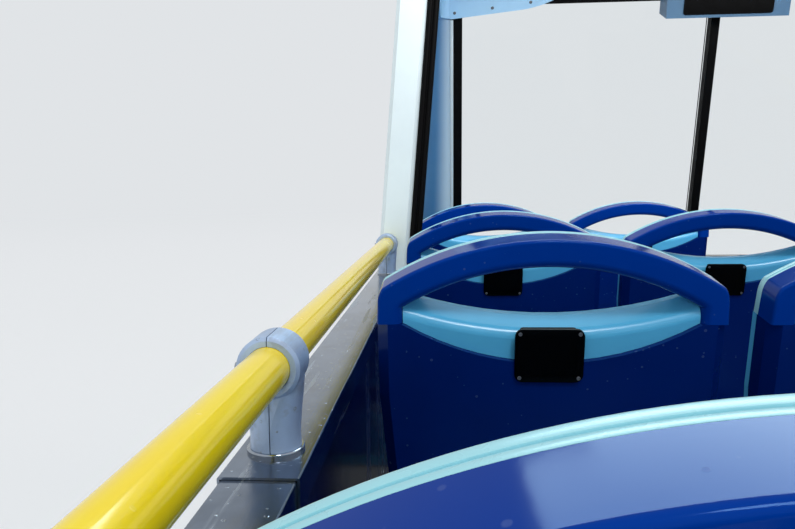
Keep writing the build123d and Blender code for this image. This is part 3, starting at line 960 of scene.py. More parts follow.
@dataclass(frozen=True)
class Moquette(Finish):
    """Woven seat cloth with small scattered dots, laid by the piece's own cloth map."""

    dots: Colour = srgb(30, 62, 130)
    flecks: Colour = srgb(112, 128, 110)
    pitch: float = 95.0
    disorder: float = 0.55
    weave_scale: float = 620.0 / 6.28
    dark_share: float = 0.6
    fleck_share: float = 0.15
    sheen: float = 0.35
    sheen_roughness: float = 0.5
    bump: float = 0.6
    bump_depth: float = 0.0008

    def shader(self, graph: Graph) -> bpy.types.NodeSocket:
        """Builds the surface.

        Args:
            graph: The material's tree.

        Returns:
            The socket of the shader.
        """
        cloth = graph.node("UVMap", uv_map=CLOTH_MAP).outputs[0]
        layout = {"Vector": cloth, "Scale": self.pitch, "Randomness": self.disorder}
        cells = graph.node("TexVoronoi", layout)
        cells.voronoi_dimensions = "2D"
        pick = graph.node("SeparateColor", {0: cells.outputs["Color"]})
        smallest, spread = 0.16, 0.16
        size = graph.math("MULTIPLY_ADD", pick.outputs[0], spread, smallest)
        reach = graph.math("DIVIDE", cells.outputs["Distance"], size)
        dot = graph.math("SUBTRACT", 1.0, graph.ramp(reach, low=0.8, high=1.1))
        dark = graph.math("MULTIPLY", dot, graph.math("LESS_THAN", pick.outputs[1], self.dark_share))
        rare = graph.math("GREATER_THAN", pick.outputs[1], 1.0 - self.fleck_share)
        fleck = graph.math("MULTIPLY", dot, rare)
        tone = self.toned(graph)
        colour = graph.mix(dark, tone.outputs["Color"], self.dots)
        colour = graph.mix(fleck, colour, self.flecks)
        weave = {"Vector": cloth, "Scale": self.weave_scale}
        warp = graph.node("TexWave", weave, bands_direction="X")
        weft = graph.node("TexWave", weave, bands_direction="Y")
        pile = graph.math("MULTIPLY", warp.outputs["Fac"], weft.outputs["Fac"])
        fuzz_scale, fuzz_height, pile_shade = 900.0, 0.7, 0.22
        fuzz = graph.noise(graph.object_place(), fuzz_scale, detail=2.0, rough=0.6)
        height = graph.math("MULTIPLY_ADD", fuzz, fuzz_height, pile)
        colour = graph.mix(graph.math("MULTIPLY", pile, pile_shade), colour, self.shade)
        shader = self.principled(graph, colour, tone.outputs["Roughness"], height)
        shader.inputs["Sheen Weight"].default_value = self.sheen
        shader.inputs["Sheen Roughness"].default_value = self.sheen_roughness
        return shader.outputs[0]


@dataclass(frozen=True)
class FleckedVinyl(Finish):
    """Safety flooring: grey vinyl with pale grit."""

    grit: Colour = srgb(150, 152, 156)
    grit_scale: float = 320.0
    grit_radius: float = 0.3
    grit_share: float = 0.16
    bump: float = 0.5
    bump_depth: float = 0.0006

    def shader(self, graph: Graph) -> bpy.types.NodeSocket:
        """Builds the surface.

        Args:
            graph: The material's tree.

        Returns:
            The socket of the shader.
        """
        tone = self.toned(graph)
        cells = graph.node("TexVoronoi", {"Vector": graph.object_place(), "Scale": self.grit_scale})
        pick = graph.node("SeparateColor", {0: cells.outputs["Color"]})
        near = graph.math("LESS_THAN", cells.outputs["Distance"], self.grit_radius)
        fleck = graph.math("MULTIPLY", near, graph.math("LESS_THAN", pick.outputs[0], self.grit_share))
        colour = graph.mix(fleck, tone.outputs["Color"], self.grit)
        grit_height = 0.5
        height = graph.math("MULTIPLY_ADD", near, grit_height, self.grained(graph))
        return self.principled(graph, colour, tone.outputs["Roughness"], height).outputs[0]


BODY_WHITE = SpottedPlastic(
    "body_white",
    srgb(216, 230, 234),
    srgb(203, 217, 223),
    0.24,
    amount=0.45,
    specular=0.35,
    drop_scale=120.0,
    drop_share=0.1,
)
FRAME_GREY = Finish("frame_grey", srgb(96, 100, 104), srgb(74, 78, 82), 0.5, grain=180.0, amount=0.7)
FLOOR_VINYL = FleckedVinyl("floor_vinyl", srgb(92, 95, 100), srgb(72, 75, 80), 0.6, grain=500.0)
# The navy lining, with lighter streaks of painted reflection.
LINING_NAVY = ReflectionStreakedPanel(
    "lining_navy",
    srgb(14, 10, 30),
    srgb(7, 5, 18),
    0.18,
    grain_depth=0.12,
    specular=0.4,
)
LINING_BLUE = Finish(
    "lining_blue",
    srgb(176, 221, 252),
    srgb(162, 208, 244),
    0.36,
    grain=420.0,
    grain_depth=0.3,
    specular=0.4,
)
# The corner linings, with painted shade at the pillar and painted light towards the windscreen.
CORNER_BLUE = PaintedLightLining(
    "lining_blue",
    srgb(78, 132, 178),
    srgb(62, 116, 166),
    0.34,
    grain=420.0,
    grain_depth=0.3,
    specular=0.4,
    variant="corner",
)
HOUSING_BLUE = Finish(
    "lining_blue",
    srgb(88, 126, 158),
    srgb(66, 106, 142),
    0.4,
    grain=420.0,
    grain_depth=0.3,
    specular=0.3,
    variant="housing",
)
STEEL_CAPPING = BrushedMetal(
    "steel_capping",
    srgb(126, 136, 150),
    srgb(86, 96, 110),
    0.18,
    spread=0.16,
    scale=14.0,
    metallic=1.0,
    spot=srgb(214, 220, 226),
)
RAIL_YELLOW = SpottedPlastic(
    "rail_yellow",
    srgb(255, 230, 14),
    srgb(255, 218, 6),
    0.14,
    grain=120.0,
    grain_depth=0.2,
    specular=0.5,
    tint=(1.0, 1.0, 0.8, 1.0),
    drop_scale=110.0,
    drop_share=0.12,
    drop_colour=srgb(250, 240, 140),
    drop_strength=0.1,
)
BRACKET_ALLOY = BrushedMetal(
    "bracket_alloy",
    srgb(168, 190, 220),
    srgb(146, 168, 202),
    0.42,
    scale=22.0,
    metallic=0.35,
    lines=(420.0, 420.0, 40.0),
    wet=0.12,
)
RING_CHROME = BrushedMetal(
    "ring_chrome",
    srgb(170, 178, 188),
    srgb(140, 148, 160),
    0.1,
    metallic=1.0,
    lines=(300.0, 300.0, 300.0),
    wet=0.1,
)
GASKET_BLACK = Finish(
    "gasket_black",
    srgb(3, 3, 4),
    srgb(8, 7, 8),
    0.6,
    grain=700.0,
    grain_depth=0.5,
    specular=0.08,
)
GLASS_CLEAR = ClearGlass("glass_clear", srgb(250, 252, 252), srgb(240, 244, 244), 0.02)
SCREEN_BLACK = Finish("screen_black", srgb(1, 1, 2), srgb(4, 4, 5), 0.2, grain_depth=0.05, specular=0.08)
SEAT_BLUE = SpottedPlastic(
    "seat_blue",
    srgb(0, 52, 146),
    srgb(0, 42, 124),
    0.11,
    grain=150.0,
    grain_depth=0.2,
    scale=3.0,
    specular=0.15,
    tint=(0.30, 0.62, 1.0, 1.0),
    drop_scale=120.0,
    drop_share=0.12,
    drop_strength=0.08,
)
# Painted shade: the covers get a darker copy of the hoops' blue, for the shade on the seats' backs.
SHADED_COVER_BLUE = SpottedPlastic(
    "seat_blue",
    srgb(0, 30, 104),
    srgb(0, 20, 82),
    0.2,
    grain=150.0,
    grain_depth=0.3,
    scale=3.0,
    specular=0.3,
    tint=(0.30, 0.62, 1.0, 1.0),
    drop_scale=120.0,
    drop_share=0.12,
    drop_strength=0.08,
    variant="cover",
)
SEAT_LIGHT_BLUE = Finish(
    "seat_light_blue",
    srgb(88, 184, 230),
    srgb(70, 164, 214),
    0.24,
    grain=360.0,
    grain_depth=0.08,
)
RIM_BLUE = Finish(
    "rim_blue",
    srgb(160, 220, 232),
    srgb(150, 210, 223),
    0.28,
    grain=500.0,
    grain_depth=0.04,
    scale=4.0,
    amount=0.3,
)
SEAT_CLOTH = Moquette(
    "seat_cloth",
    srgb(150, 200, 232),
    srgb(118, 172, 214),
    0.85,
    spread=0.1,
    scale=9.0,
)
SEAT_FRAME_GREY = Finish(
    "seat_frame_grey",
    srgb(92, 96, 104),
    srgb(74, 78, 86),
    0.36,
    grain=240.0,
    coat=0.2,
)

FINISHES = {
    finish.slot: finish
    for finish in (
        BODY_WHITE,
        FRAME_GREY,
        FLOOR_VINYL,
        LINING_NAVY,
        LINING_BLUE,
        STEEL_CAPPING,
        RAIL_YELLOW,
        BRACKET_ALLOY,
        RING_CHROME,
        GASKET_BLACK,
        GLASS_CLEAR,
        SCREEN_BLACK,
        SEAT_BLUE,
        SEAT_LIGHT_BLUE,
        RIM_BLUE,
        SEAT_CLOTH,
        SEAT_FRAME_GREY,
    )
}

VARIANTS = {
    # Painted shade: the covers' darker copy of the seat blue.
    "seat_covers": SHADED_COVER_BLUE,
    "display_housing": HOUSING_BLUE,
    "corner_linings": CORNER_BLUE,
}


@dataclass
class Carcase:
    """The pieces of the frame, which only need their finishes."""

    frame: dict

    def dress(self) -> None:
        """Gives each node of the frame the material of its slot, or its own variant of that."""
        slots = {part["node"]: part["material_slot"] for part in self.frame["record"]["subparts"]}
        for name, node in self.frame["nodes"].items():
            material = VARIANTS.get(name, FINISHES[slots[name]]).material()
            for place in node.material_slots:
                place.link = "OBJECT"
                place.material = material
        log.info("carcase: %d nodes finished", len(self.frame["nodes"]))


@dataclass
class SeatRows:
    """Where the seats stand, in metres, with the row at the back first."""

    pitch: float = 0.705
    count: int = 5
    window_x: float = 0.933
    aisle_x: float = 0.443
    deck_z: float = 0.090
    recline: float = math.radians(9.0)
    foot_y: float = 0.10215
    foot_z: float = 0.381
    back_depth: float = 0.054
    first_y: float = field(init=False)

    def __post_init__(self) -> None:
        """Finds the first row from the frame: its backs reach furthest to the rear at their tops."""
        self.first_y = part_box("seat_handles")[0][1]

    def seats(self) -> list[tuple[str, Matrix]]:
        """Names each seat and gives its place on the deck.

        Returns:
            The names and places, the row at the back first.
        """
        found = []
        for row in range(self.count):
            for side, word in zip(SIDES, ("left", "right")):
                for x, kind in ((self.window_x, "window"), (self.aisle_x, "aisle")):
                    place = Matrix.Translation((side * x, self.first_y + row * self.pitch, self.deck_z))
                    found.append((f"row{row + 1}_{word}_{kind}", place))
        return found

    def reclined(self, place: Matrix) -> Matrix:
        """Gives the plane of a seat's back: X across, Y forwards through it and Z up it."""
        foot = Matrix.Translation((0, self.foot_y, self.foot_z))
        return place @ foot @ Matrix.Rotation(self.recline, 4, "X")

    def backs(self) -> list[Matrix]:
        """Gives the plane of every seat's back."""
        return [self.reclined(place) for _, place in self.seats()]


@dataclass
class Hoops:
    """The arched hand holds over the seats: a dark moulding behind and a light two-bead rim before it."""

    rows: SeatRows
    apex: float = 0.653
    foot: float = 0.5433
    radius: float = 0.394
    band: float = 0.037
    half: float = 0.220
    hold_half: float = 0.187
    taper: float = 0.006
    corner: float = 0.016
    gap: float = 0.0003
    rim_depth: float = 0.0145
    rim_round: float = 0.003
    outer_round: float = 0.004
    hold_round: float = 0.012
    groove_width: float = 0.0022
    groove_depth: float = 0.0012
    groove_from_front: float = 0.008
    soft_edge: float = 0.0004
    facets: int = 256

    def build(self) -> None:
        """Models one moulding and one rim, and sets them on every seat."""
        backs = self.rows.backs()
        moulding = scatter(self.moulding(), backs, "hoop_mouldings", SEAT_BLUE)
        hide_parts("seat_handles")
        rim = scatter(self.rim(), backs, "hoop_rims", RIM_BLUE)
        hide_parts("seat_rims")

    def disc(self, name: str, radius: float, rear: float, front: float) -> bpy.types.Object:
        """Starts a disc about the centre of the arch, between two depths."""
        return round_block(name, radius, rear, front, self.facets, self.apex - self.radius)

    def arch(self, name: str, rear: float, front: float) -> bpy.types.Object:
        """Models the arch over the hand hold.

        Args:
            name: The piece's name.
            rear: The depth of its rear face.
            front: The depth of its front face.

        Returns:
            The arch, with plain edges.
        """
        arch = self.disc(name, self.radius, rear, front)
        cut_off(arch, (0, 0, self.foot), (0, 0, -1))
        rise = self.apex - self.foot
        for side in SIDES:
            cut_off(arch, (side * self.half, 0, self.foot), (side * rise, 0, self.taper))
        shoulder = self.apex - self.radius + math.sqrt(self.radius**2 - (self.half - self.taper) ** 2)
        edit_edges(arch, lambda edge: self.is_shoulder(edge, shoulder))
        bpy.ops.mesh.bevel(offset=self.corner, offset_type="OFFSET", segments=8, affect="EDGES")
        hold = self.disc("hold", self.radius - self.band, rear - self.band, front + self.band)
        for side in SIDES:
            cut_off(hold, (side * self.hold_half, 0, 0), (side, 0, 0))
        apply_modifier(arch, "BOOLEAN", operation="DIFFERENCE", object=hold, solver="EXACT")
        bpy.data.objects.remove(hold)
        return arch

    def is_shoulder(self, edge: bmesh.types.BMEdge, shoulder: float) -> bool:
        """Finds the edges that run from front to rear where the arch meets its sides.

        Args:
            edge: The edge to judge.
            shoulder: The height where they meet.

        Returns:
            Whether it is such an edge.
        """
        first, last = (vertex.co for vertex in edge.verts)
        middle = (first + last) / 2
        through = abs(first.y - last.y) > self.rim_depth / 2
        level = abs(middle.z - shoulder) < self.corner / 2
        outside = abs(middle.x) > self.half - self.corner / 2
        return through and level and outside

    def on_hold(self, place: Vector) -> bool:
        """Finds the places on the edge of the hand hold.

        Args:
            place: The place to judge.

        Returns:
            Whether it lies there.
        """
        reach = math.hypot(place.x, place.z - self.apex + self.radius)
        above = abs(reach - self.radius + self.band) < self.gap
        beside = abs(abs(place.x) - self.hold_half) < self.gap
        return (beside or above) and abs(place.x) < self.hold_half + self.gap

    def borders(self, edge: bmesh.types.BMEdge, depth: float, hold: bool) -> bool:
        """Finds the edges round one face of the arch, other than those of its feet.

        Args:
            edge: The edge to judge.
            depth: The depth of the face.
            hold: Whether the edges are those of the hand hold, or the outer ones.

        Returns:
            Whether it is such an edge.
        """
        ends = [vertex.co for vertex in edge.verts]
        flat = all(abs(end.y - depth) < self.gap / 3 for end in ends)
        feet = all(end.z < self.foot + self.gap for end in ends)
        return flat and not feet and hold == all(self.on_hold(end) for end in ends)

    def rounded(
        self, arch: bpy.types.Object, depth: float, hold: bool, width: float, segments: int
    ) -> None:
        """Rounds the edges of one face of the arch.

        Args:
            arch: The arch.
            depth: The depth of the face.
            hold: Whether the edges are those of the hand hold, or the outer ones.
            width: The radius of the round.
            segments: How many facets it has.
        """
        edit_edges(arch, lambda edge: self.borders(edge, depth, hold))
        bpy.ops.mesh.bevel(offset=width, offset_type="OFFSET", segments=segments, affect="EDGES")
        fresh()

    def moulding(self) -> bpy.types.Object:
        """Models the dark arch, with a small round outside and a large one at the fingers.

        Returns:
            The moulding of one seat.
        """
        arch = self.arch("hoop_moulding", 0.0, self.rows.back_depth - self.rim_depth - self.gap)
        self.rounded(arch, 0.0, hold=False, width=self.outer_round, segments=4)
        self.rounded(arch, 0.0, hold=True, width=self.hold_round, segments=6)
        outward(arch)
        smooth_by_area(arch, 30.0)
        return arch

    def rim(self) -> bpy.types.Object:
        """Models the light band, with its groove between two beads.

        Returns:
            The rim of one seat.
        """
        depth = self.rows.back_depth
        arch = self.arch("hoop_rim", depth - self.rim_depth, depth)
        front = depth - self.groove_from_front
        ring = self.disc("ring", self.radius + self.groove_depth, front - self.groove_width, front)
        core = self.disc("core", self.radius - self.groove_depth, front - self.band, front + self.band)
        apply_modifier(ring, "BOOLEAN", operation="DIFFERENCE", object=core, solver="EXACT")
        apply_modifier(arch, "BOOLEAN", operation="DIFFERENCE", object=ring, solver="EXACT")
        for tool in (ring, core):
            bpy.data.objects.remove(tool)
        self.rounded(arch, depth, hold=False, width=self.rim_round, segments=4)
        apply_modifier(
            arch,
            "BEVEL",
            width=self.soft_edge,
            segments=2,
            limit_method="ANGLE",
            angle_limit=math.radians(50),
        )
        outward(arch)
        smooth(arch, 30.0)
        return arch


class Padding(Enum):
    """The two padded pieces of a seat."""

    CUSHION = "cushion"
    BACK = "back_pad"


@dataclass
class Upholstery:
    """The cushions and back pads: foam under woven cloth, piped round the edge."""

    rows: SeatRows
    cushion_size: Triple = (0.386, 0.342, 0.046)
    cushion_middle: Triple = (0.0, 0.3465, 0.4158)
    pad_size: Triple = (0.352, 0.370, 0.020)
    pad_middle: Triple = (0.0, 0.0545, 0.283)
    edge_share: float = 0.42
    voxel: float = 0.008
    pressure: float = 4.0
    steps: int = 20
    cap: float = 0.007
    crown: float = 0.004
    channel_depth: float = 0.004
    channel_reach: float = 0.009
    channel_steepness: float = 3.0
    border: float = 0.045
    seam_share: float = 0.55
    top_share: float = 0.7
    piping_radius: float = 0.0026
    corner: float = 0.022

    def build(self) -> None:
        """Models one cushion and one pad, and lays a copy of each on every seat."""
        for kind, size, node in (
            (Padding.CUSHION, self.cushion_size, "seat_cushions"),
            (Padding.BACK, self.pad_size, "seat_pads"),
        ):
            soft, piping = self.foam(kind.value, size)
            self.lay(soft, kind, node)
            self.lay(piping, kind, None)

    def foam(self, name: str, size: Triple) -> tuple[bpy.types.Object, bpy.types.Object]:
        """Models a padded block lying flat on z = 0, with its piping.

        Args:
            name: The piece's name.
            size: Its width, length and thickness before it swells.

        Returns:
            The padded block and its piping.
        """
        block = start(Start.CUBE, name, size, size=1, location=(0, 0, size[2] / 2))
        apply_modifier(block, "BEVEL", width=min(size) * self.edge_share, segments=4, limit_method="ANGLE")
        apply_modifier(block, "REMESH", mode="VOXEL", voxel_size=self.voxel)
        self.swell(block)
        piping = self.piping(block, name, size[2] * self.seam_share)
        self.sew(block, size)
        self.lay_cloth_map(block)
        smooth(block, 60.0)
        return block, piping

    def swell(self, block: bpy.types.Object) -> None:
        """Blows the cover up over its foam, limits how far each point moves, and keeps the base flat.

        Args:
            block: The padded block.
        """
        rest = [vertex.co.copy() for vertex in block.data.vertices]
        select_only(block)
        cloth = block.modifiers.new("Cloth", "CLOTH")
        cloth.settings.use_pressure = True
        cloth.settings.uniform_pressure_force = self.pressure
        cloth.settings.effector_weights.gravity = 0.0
        scene = bpy.context.scene
        for step in range(1, self.steps + 1):
            scene.frame_set(step)
        bpy.ops.object.modifier_apply(modifier=cloth.name)
        scene.frame_set(1)
        for vertex, old in zip(block.data.vertices, rest):
            move = vertex.co - old
            if move.length > self.cap:
                move *= self.cap / move.length
            vertex.co = old + move
            vertex.co.z = max(vertex.co.z, 0.0)

    def sew(self, block: bpy.types.Object, size: Triple) -> None:
        """Crowns the top, and draws it down along the seam of the insert and two cross seams.

        Args:
            block: The padded block.
            size: Its width, length and thickness before it swells.
        """
        half_x = size[0] / 2 - self.border
        half_y = size[1] / 2 - self.border
        for vertex in block.data.vertices:
            x, y, z = vertex.co
            if z < size[2] * self.top_share:
                continue
            edge = abs(max(abs(x) - half_x, abs(y) - half_y))
            cross = abs(abs(y) - half_y / 3) if abs(x) < half_x else 1.0
            near = min(edge, cross)
            crown = self.crown * (1 - (x / size[0] * 2) ** 2) * (1 - (y / size[1] * 2) ** 2)
            fall = math.exp(-((near / self.channel_reach) ** 2) * self.channel_steepness)
            vertex.co.z += crown - self.channel_depth * fall

    @staticmethod
    def lay_cloth_map(block: bpy.types.Object) -> None:
        """Lays the cloth flat over the top and down each side, in metres.

        Args:
            block: The padded block.
        """
        layer = block.data.uv_layers.new(name=CLOTH_MAP)
        for face in block.data.polygons:
            normal = face.normal
            for index in face.loop_indices:
                x, y, z = block.data.vertices[block.data.loops[index].vertex_index].co
                if abs(normal.z) > 0.5:
                    layer.data[index].uv = (x, y)
                elif abs(normal.x) > abs(normal.y):
                    layer.data[index].uv = (x + math.copysign(z, -x), y)
                else:
                    layer.data[index].uv = (x, y + math.copysign(z, -y))

    def piping(self, block: bpy.types.Object, name: str, height: float) -> bpy.types.Object:
        """Lays a round cord of cloth round the block where its top and sides are sewn together.

        Args:
            block: The padded block.
            name: Its name.
            height: How high the seam lies.

        Returns:
            The piping.
        """
        corners = [vertex.co for vertex in block.data.vertices]
        width = max(corner.x for corner in corners) - min(corner.x for corner in corners)
        length = max(corner.y for corner in corners) - min(corner.y for corner in corners)
        cord = start(Start.PLANE, f"{name}_piping", (width, length, 1), size=1, location=(0, 0, height))
        edit_faces(cord, lambda face: True)
        bpy.ops.mesh.select_mode(type="VERT")
        bpy.ops.mesh.bevel(offset=self.corner, segments=4, affect="VERTICES")
        bpy.ops.mesh.select_all(action="SELECT")
        bpy.ops.mesh.subdivide(number_cuts=2, ngon=False)
        bpy.ops.mesh.select_mode(type="FACE")
        bpy.ops.mesh.select_all(action="SELECT")
        bpy.ops.mesh.dissolve_faces()
        bpy.ops.mesh.delete(type="ONLY_FACE")
        apply_modifier(cord, "SHRINKWRAP", target=block, wrap_method="NEAREST_SURFACEPOINT")
        select_only(cord)
        bpy.ops.object.convert(target="CURVE")
        cord = bpy.context.object
        cord.data.bevel_depth = self.piping_radius
        cord.data.bevel_resolution = 1
        bpy.ops.object.convert(target="MESH")
        cord = bpy.context.object
        cord.name = cord.data.name = f"{name}_piping"
        smooth(cord, 80.0)
        return cord

    def lay(self, piece: bpy.types.Object, kind: Padding, node: str | None) -> None:
        """Lays a copy of the piece on every seat.

        Args:
            piece: The cushion, pad or piping.
            kind: Which of the two it belongs to.
            node: The frame's node that it stands for, or None for piping.
        """
        seats = self.rows.seats()
        name = piece.name
        made = copies(piece, [self.placed(kind, place) for _, place in seats])
        if node is None:
            put(joined(made, f"{name}s"), SEAT_BLUE)
            return
        for copy, (word, _) in zip(made, seats):
            copy.name = copy.data.name = f"{name}_{word}"
            put(copy, SEAT_CLOTH)
            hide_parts(node)

    def placed(self, kind: Padding, place: Matrix) -> Matrix:
        """Finds where a cushion or pad goes on one seat.

        Args:
            kind: Which of the two it is.
            place: The seat's place on the deck.

        Returns:
            The place of the padded block.
        """
        if kind is Padding.CUSHION:
            x, y, z = self.cushion_middle
            return place @ Matrix.Translation((x, y, z - self.cushion_size[2] / 2))
        x, y, z = self.pad_middle
        upright = Matrix.Rotation(-math.pi / 2, 4, "X") @ Matrix.Rotation(math.pi, 4, "Z")
        return self.rows.reclined(place) @ Matrix.Translation((x, y, z)) @ upright


@dataclass
class BackPlates:
    """The blank black unit in the middle of every seat's back, with its four screws."""

    rows: SeatRows
    width: float = 0.088
    height: float = 0.073
    corner: float = 0.011
    thickness: float = 0.004
    bevel: float = 0.0015
    middle_h: float = 0.502
    gap: float = 0.0003
    field_inset: float = 0.008
    field_depth: float = 0.001
    box_width: float = 0.076
    box_low_h: float = 0.4945
    box_high_h: float = 0.534
    box_depth: float = 0.016
    box_corner: float = 0.006
    box_bevel: float = 0.001
    screw_radius: float = 0.0026
    screw_height: float = 0.0012
    screw_inset: float = 0.0065

    def build(self) -> None:
        """Models the unit and its screws, and sets them on every back."""
        backs = self.rows.backs()
        front = [back @ Matrix.Translation((0, -self.gap, self.middle_h)) for back in backs]
        scatter(self.plate(), front, "back_plates", SCREEN_BLACK)
        middle = (self.box_low_h + self.box_high_h) / 2
        height = self.box_high_h - self.box_low_h
        rear = [back @ Matrix.Translation((0, self.box_depth, middle)) for back in backs]
        box = rounded_plate(
            "back_plate_box", self.box_width, height, self.box_corner, self.box_depth, self.box_bevel
        )
        scatter(box, rear, "back_plate_boxes", SCREEN_BLACK)
        half_x = self.width / 2 - self.screw_inset
        half_z = self.height / 2 - self.screw_inset
        offsets = [(x, z) for x in (-half_x, half_x) for z in (-half_z, half_z)]
        places = [
            plate @ Matrix.Translation((x, -self.thickness, z)) for plate in front for x, z in offsets
        ]
        screw = socket_screw("back_plate_screw", self.screw_radius, self.screw_height)
        scatter(screw, places, "back_plate_screws", SEAT_FRAME_GREY)

    def plate(self) -> bpy.types.Object:
        """Models the front with its blank sunken field.

        Returns:
            The front of one unit.
        """
        plate = rounded_plate(
            "back_plate", self.width, self.height, self.corner, self.thickness, self.bevel
        )
        edit_faces(plate, is_cap)
        bpy.ops.mesh.inset(thickness=self.field_inset)
        bpy.ops.mesh.extrude_region_move(TRANSFORM_OT_translate={"value": (0, self.field_depth, 0)})
        fresh()
        smooth(plate)
        return plate


@dataclass
class Deck:
    """The main places of the section, in metres, most of them read from the frame."""

    front_y: float = field(init=False)
    rail_x: float = field(init=False)
    rail_z: float = field(init=False)
    bracket_ys: list[float] = field(init=False)
    wall_x: float = field(init=False)
    wall_low: float = field(init=False)
    wall_high: float = field(init=False)
    rear_y: float = field(init=False)
    bay_pitch: float = 1.193
    ring_radius: float = 0.025
    screen_half: float = 1.040
    screen_sill: float = 0.800
    screen_rake: float = 0.2128
    screen_reach: float = 0.074
    header_sheet: float = 0.0183

    def __post_init__(self) -> None:
        """Reads the places from the frame's boxes."""
        low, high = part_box("side_members")
        self.rear_y, self.front_y = low[1], -low[1]
        low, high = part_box("handrail_right")
        self.rail_x = (low[0] + high[0]) / 2
        self.rail_z = (low[2] + high[2]) / 2
        low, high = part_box("bracket_rings")
        first, last = low[1] + self.ring_radius, high[1] - self.ring_radius
        self.bracket_ys = [first, (first + last) / 2, last]
        low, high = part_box("side_wall_right")
        self.wall_x = high[0]
        self.wall_low, self.wall_high = low[2], high[2]

    def screen_y(self, z: float) -> float:
        """The inner face of the windscreen's frame at a height."""
        return self.front_y - self.screen_rake * (z - self.screen_sill) - self.screen_reach

    def screen_normal(self) -> Vector:
        """The direction that the inner face of the windscreen looks in."""
        return Vector((0, -1, -self.screen_rake)).normalized()


@dataclass
class WindscreenTrim:
    """The pale strip between each corner lining and the windscreen's gasket, and the header's screws."""

    deck: Deck
    low_z: float = 0.962
    high_z: float = 1.838
    width: float = 0.013
    depth: float = 0.005
    bevel: float = 0.0015
    gap: float = 0.0003
    screw_radius: float = 0.006
    screw_height: float = 0.003
    screw_places: tuple[Pair, ...] = ((1.022, 1.860), (0.873, 1.875), (0.724, 1.892))

    def build(self) -> None:
        """Models the strips and the screws."""
        normal = self.deck.screen_normal()
        middle_x = self.deck.screen_half - self.width / 2
        ends = [(self.deck.screen_y(z) - self.gap, z) for z in (self.low_z, self.high_z)]
        places = []
        for side in SIDES:
            low, high = (Vector((side * middle_x, y, z)) for y, z in ends)
            places.append(along(low, high, normal))
        length = (self.high_z - self.low_z) * math.hypot(1, self.deck.screen_rake)
        strip = bar("windscreen_trim", length, self.width, self.depth, self.bevel)
        scatter(strip, places, "windscreen_trims", BODY_WHITE)
        places = [
            facing((side * x, self.deck.screen_y(z) - self.deck.header_sheet, z), normal)
            for side in SIDES
            for x, z in self.screw_places
        ]
        screw = socket_screw("header_screw", self.screw_radius, self.screw_height)
        scatter(screw, places, "header_screws", SEAT_FRAME_GREY)


@dataclass
class Fixings:
    """The screws of the rail brackets, the seats' wall plates and their feet."""

    deck: Deck
    rows: SeatRows
    collar_radius: float = 0.0265
    collar_screw_offset: float = 0.013
    post_screw_z: float = 0.985
    post_radius: float = 0.0215
    bracket_screw: float = 0.0042
    wall_screw: float = 0.005
    screw_height: float = 0.003
    wall_plate_x: float = 1.1773
    wall_plate_z: float = 0.4537
    wall_plate_inset: float = 0.026
    tube_ys: Pair = (0.235, 0.465)
    leg_x: float = 0.300
    foot_y: float = 0.350
    foot_reach: float = 0.135
    foot_z: float = 0.100
    foot_bolt: float = 0.009
    bolt_height: float = 0.006

    def build(self) -> None:
        """Models each kind of screw and sets its copies."""
        self.brackets()
        self.wall_plates()
        self.feet()

    def brackets(self) -> None:
        """Sets three screws on the outboard half of every bracket."""
        places = []
        for side in SIDES:
            for y in self.deck.bracket_ys:
                collar_x = side * (self.deck.rail_x + self.collar_radius)
                post_x = side * (self.deck.rail_x + self.post_radius)
                for offset in (-self.collar_screw_offset, self.collar_screw_offset):
                    places.append(facing((collar_x, y + offset, self.deck.rail_z), (side, 0, 0)))
                places.append(facing((post_x, y, self.post_screw_z), (side, 0, 0)))
        screw = socket_screw("bracket_screw", self.bracket_screw, self.screw_height)
        scatter(screw, places, "bracket_screws", RING_CHROME)

    def wall_plates(self) -> None:
        """Sets four screws on every wall plate of the seat frames."""
        places = []
        reach = self.wall_plate_inset
        for side in SIDES:
            for row in range(self.rows.count):
                row_y = self.rows.first_y + row * self.rows.pitch
                for tube_y in self.tube_ys:
                    for y, z in ((-reach, -reach), (-reach, reach), (reach, -reach), (reach, reach)):
                        place = (side * self.wall_plate_x, row_y + tube_y + y, self.wall_plate_z + z)
                        places.append(facing(place, (-side, 0, 0)))
        screw = socket_screw("wall_plate_screw", self.wall_screw, self.screw_height)
        scatter(screw, places, "wall_plate_screws", RING_CHROME)

    def feet(self) -> None:
        """Sets a bolt at both ends of every foot."""
        places = []
        for side in SIDES:
            for row in range(self.rows.count):
                row_y = self.rows.first_y + row * self.rows.pitch + self.foot_y
                for y in (row_y - self.foot_reach, row_y + self.foot_reach):
                    places.append(facing((side * self.leg_x, y, self.foot_z), (0, 0, 1)))
        bolt = socket_screw("foot_bolt", self.foot_bolt, self.bolt_height)
        scatter(bolt, places, "foot_bolts", RING_CHROME)


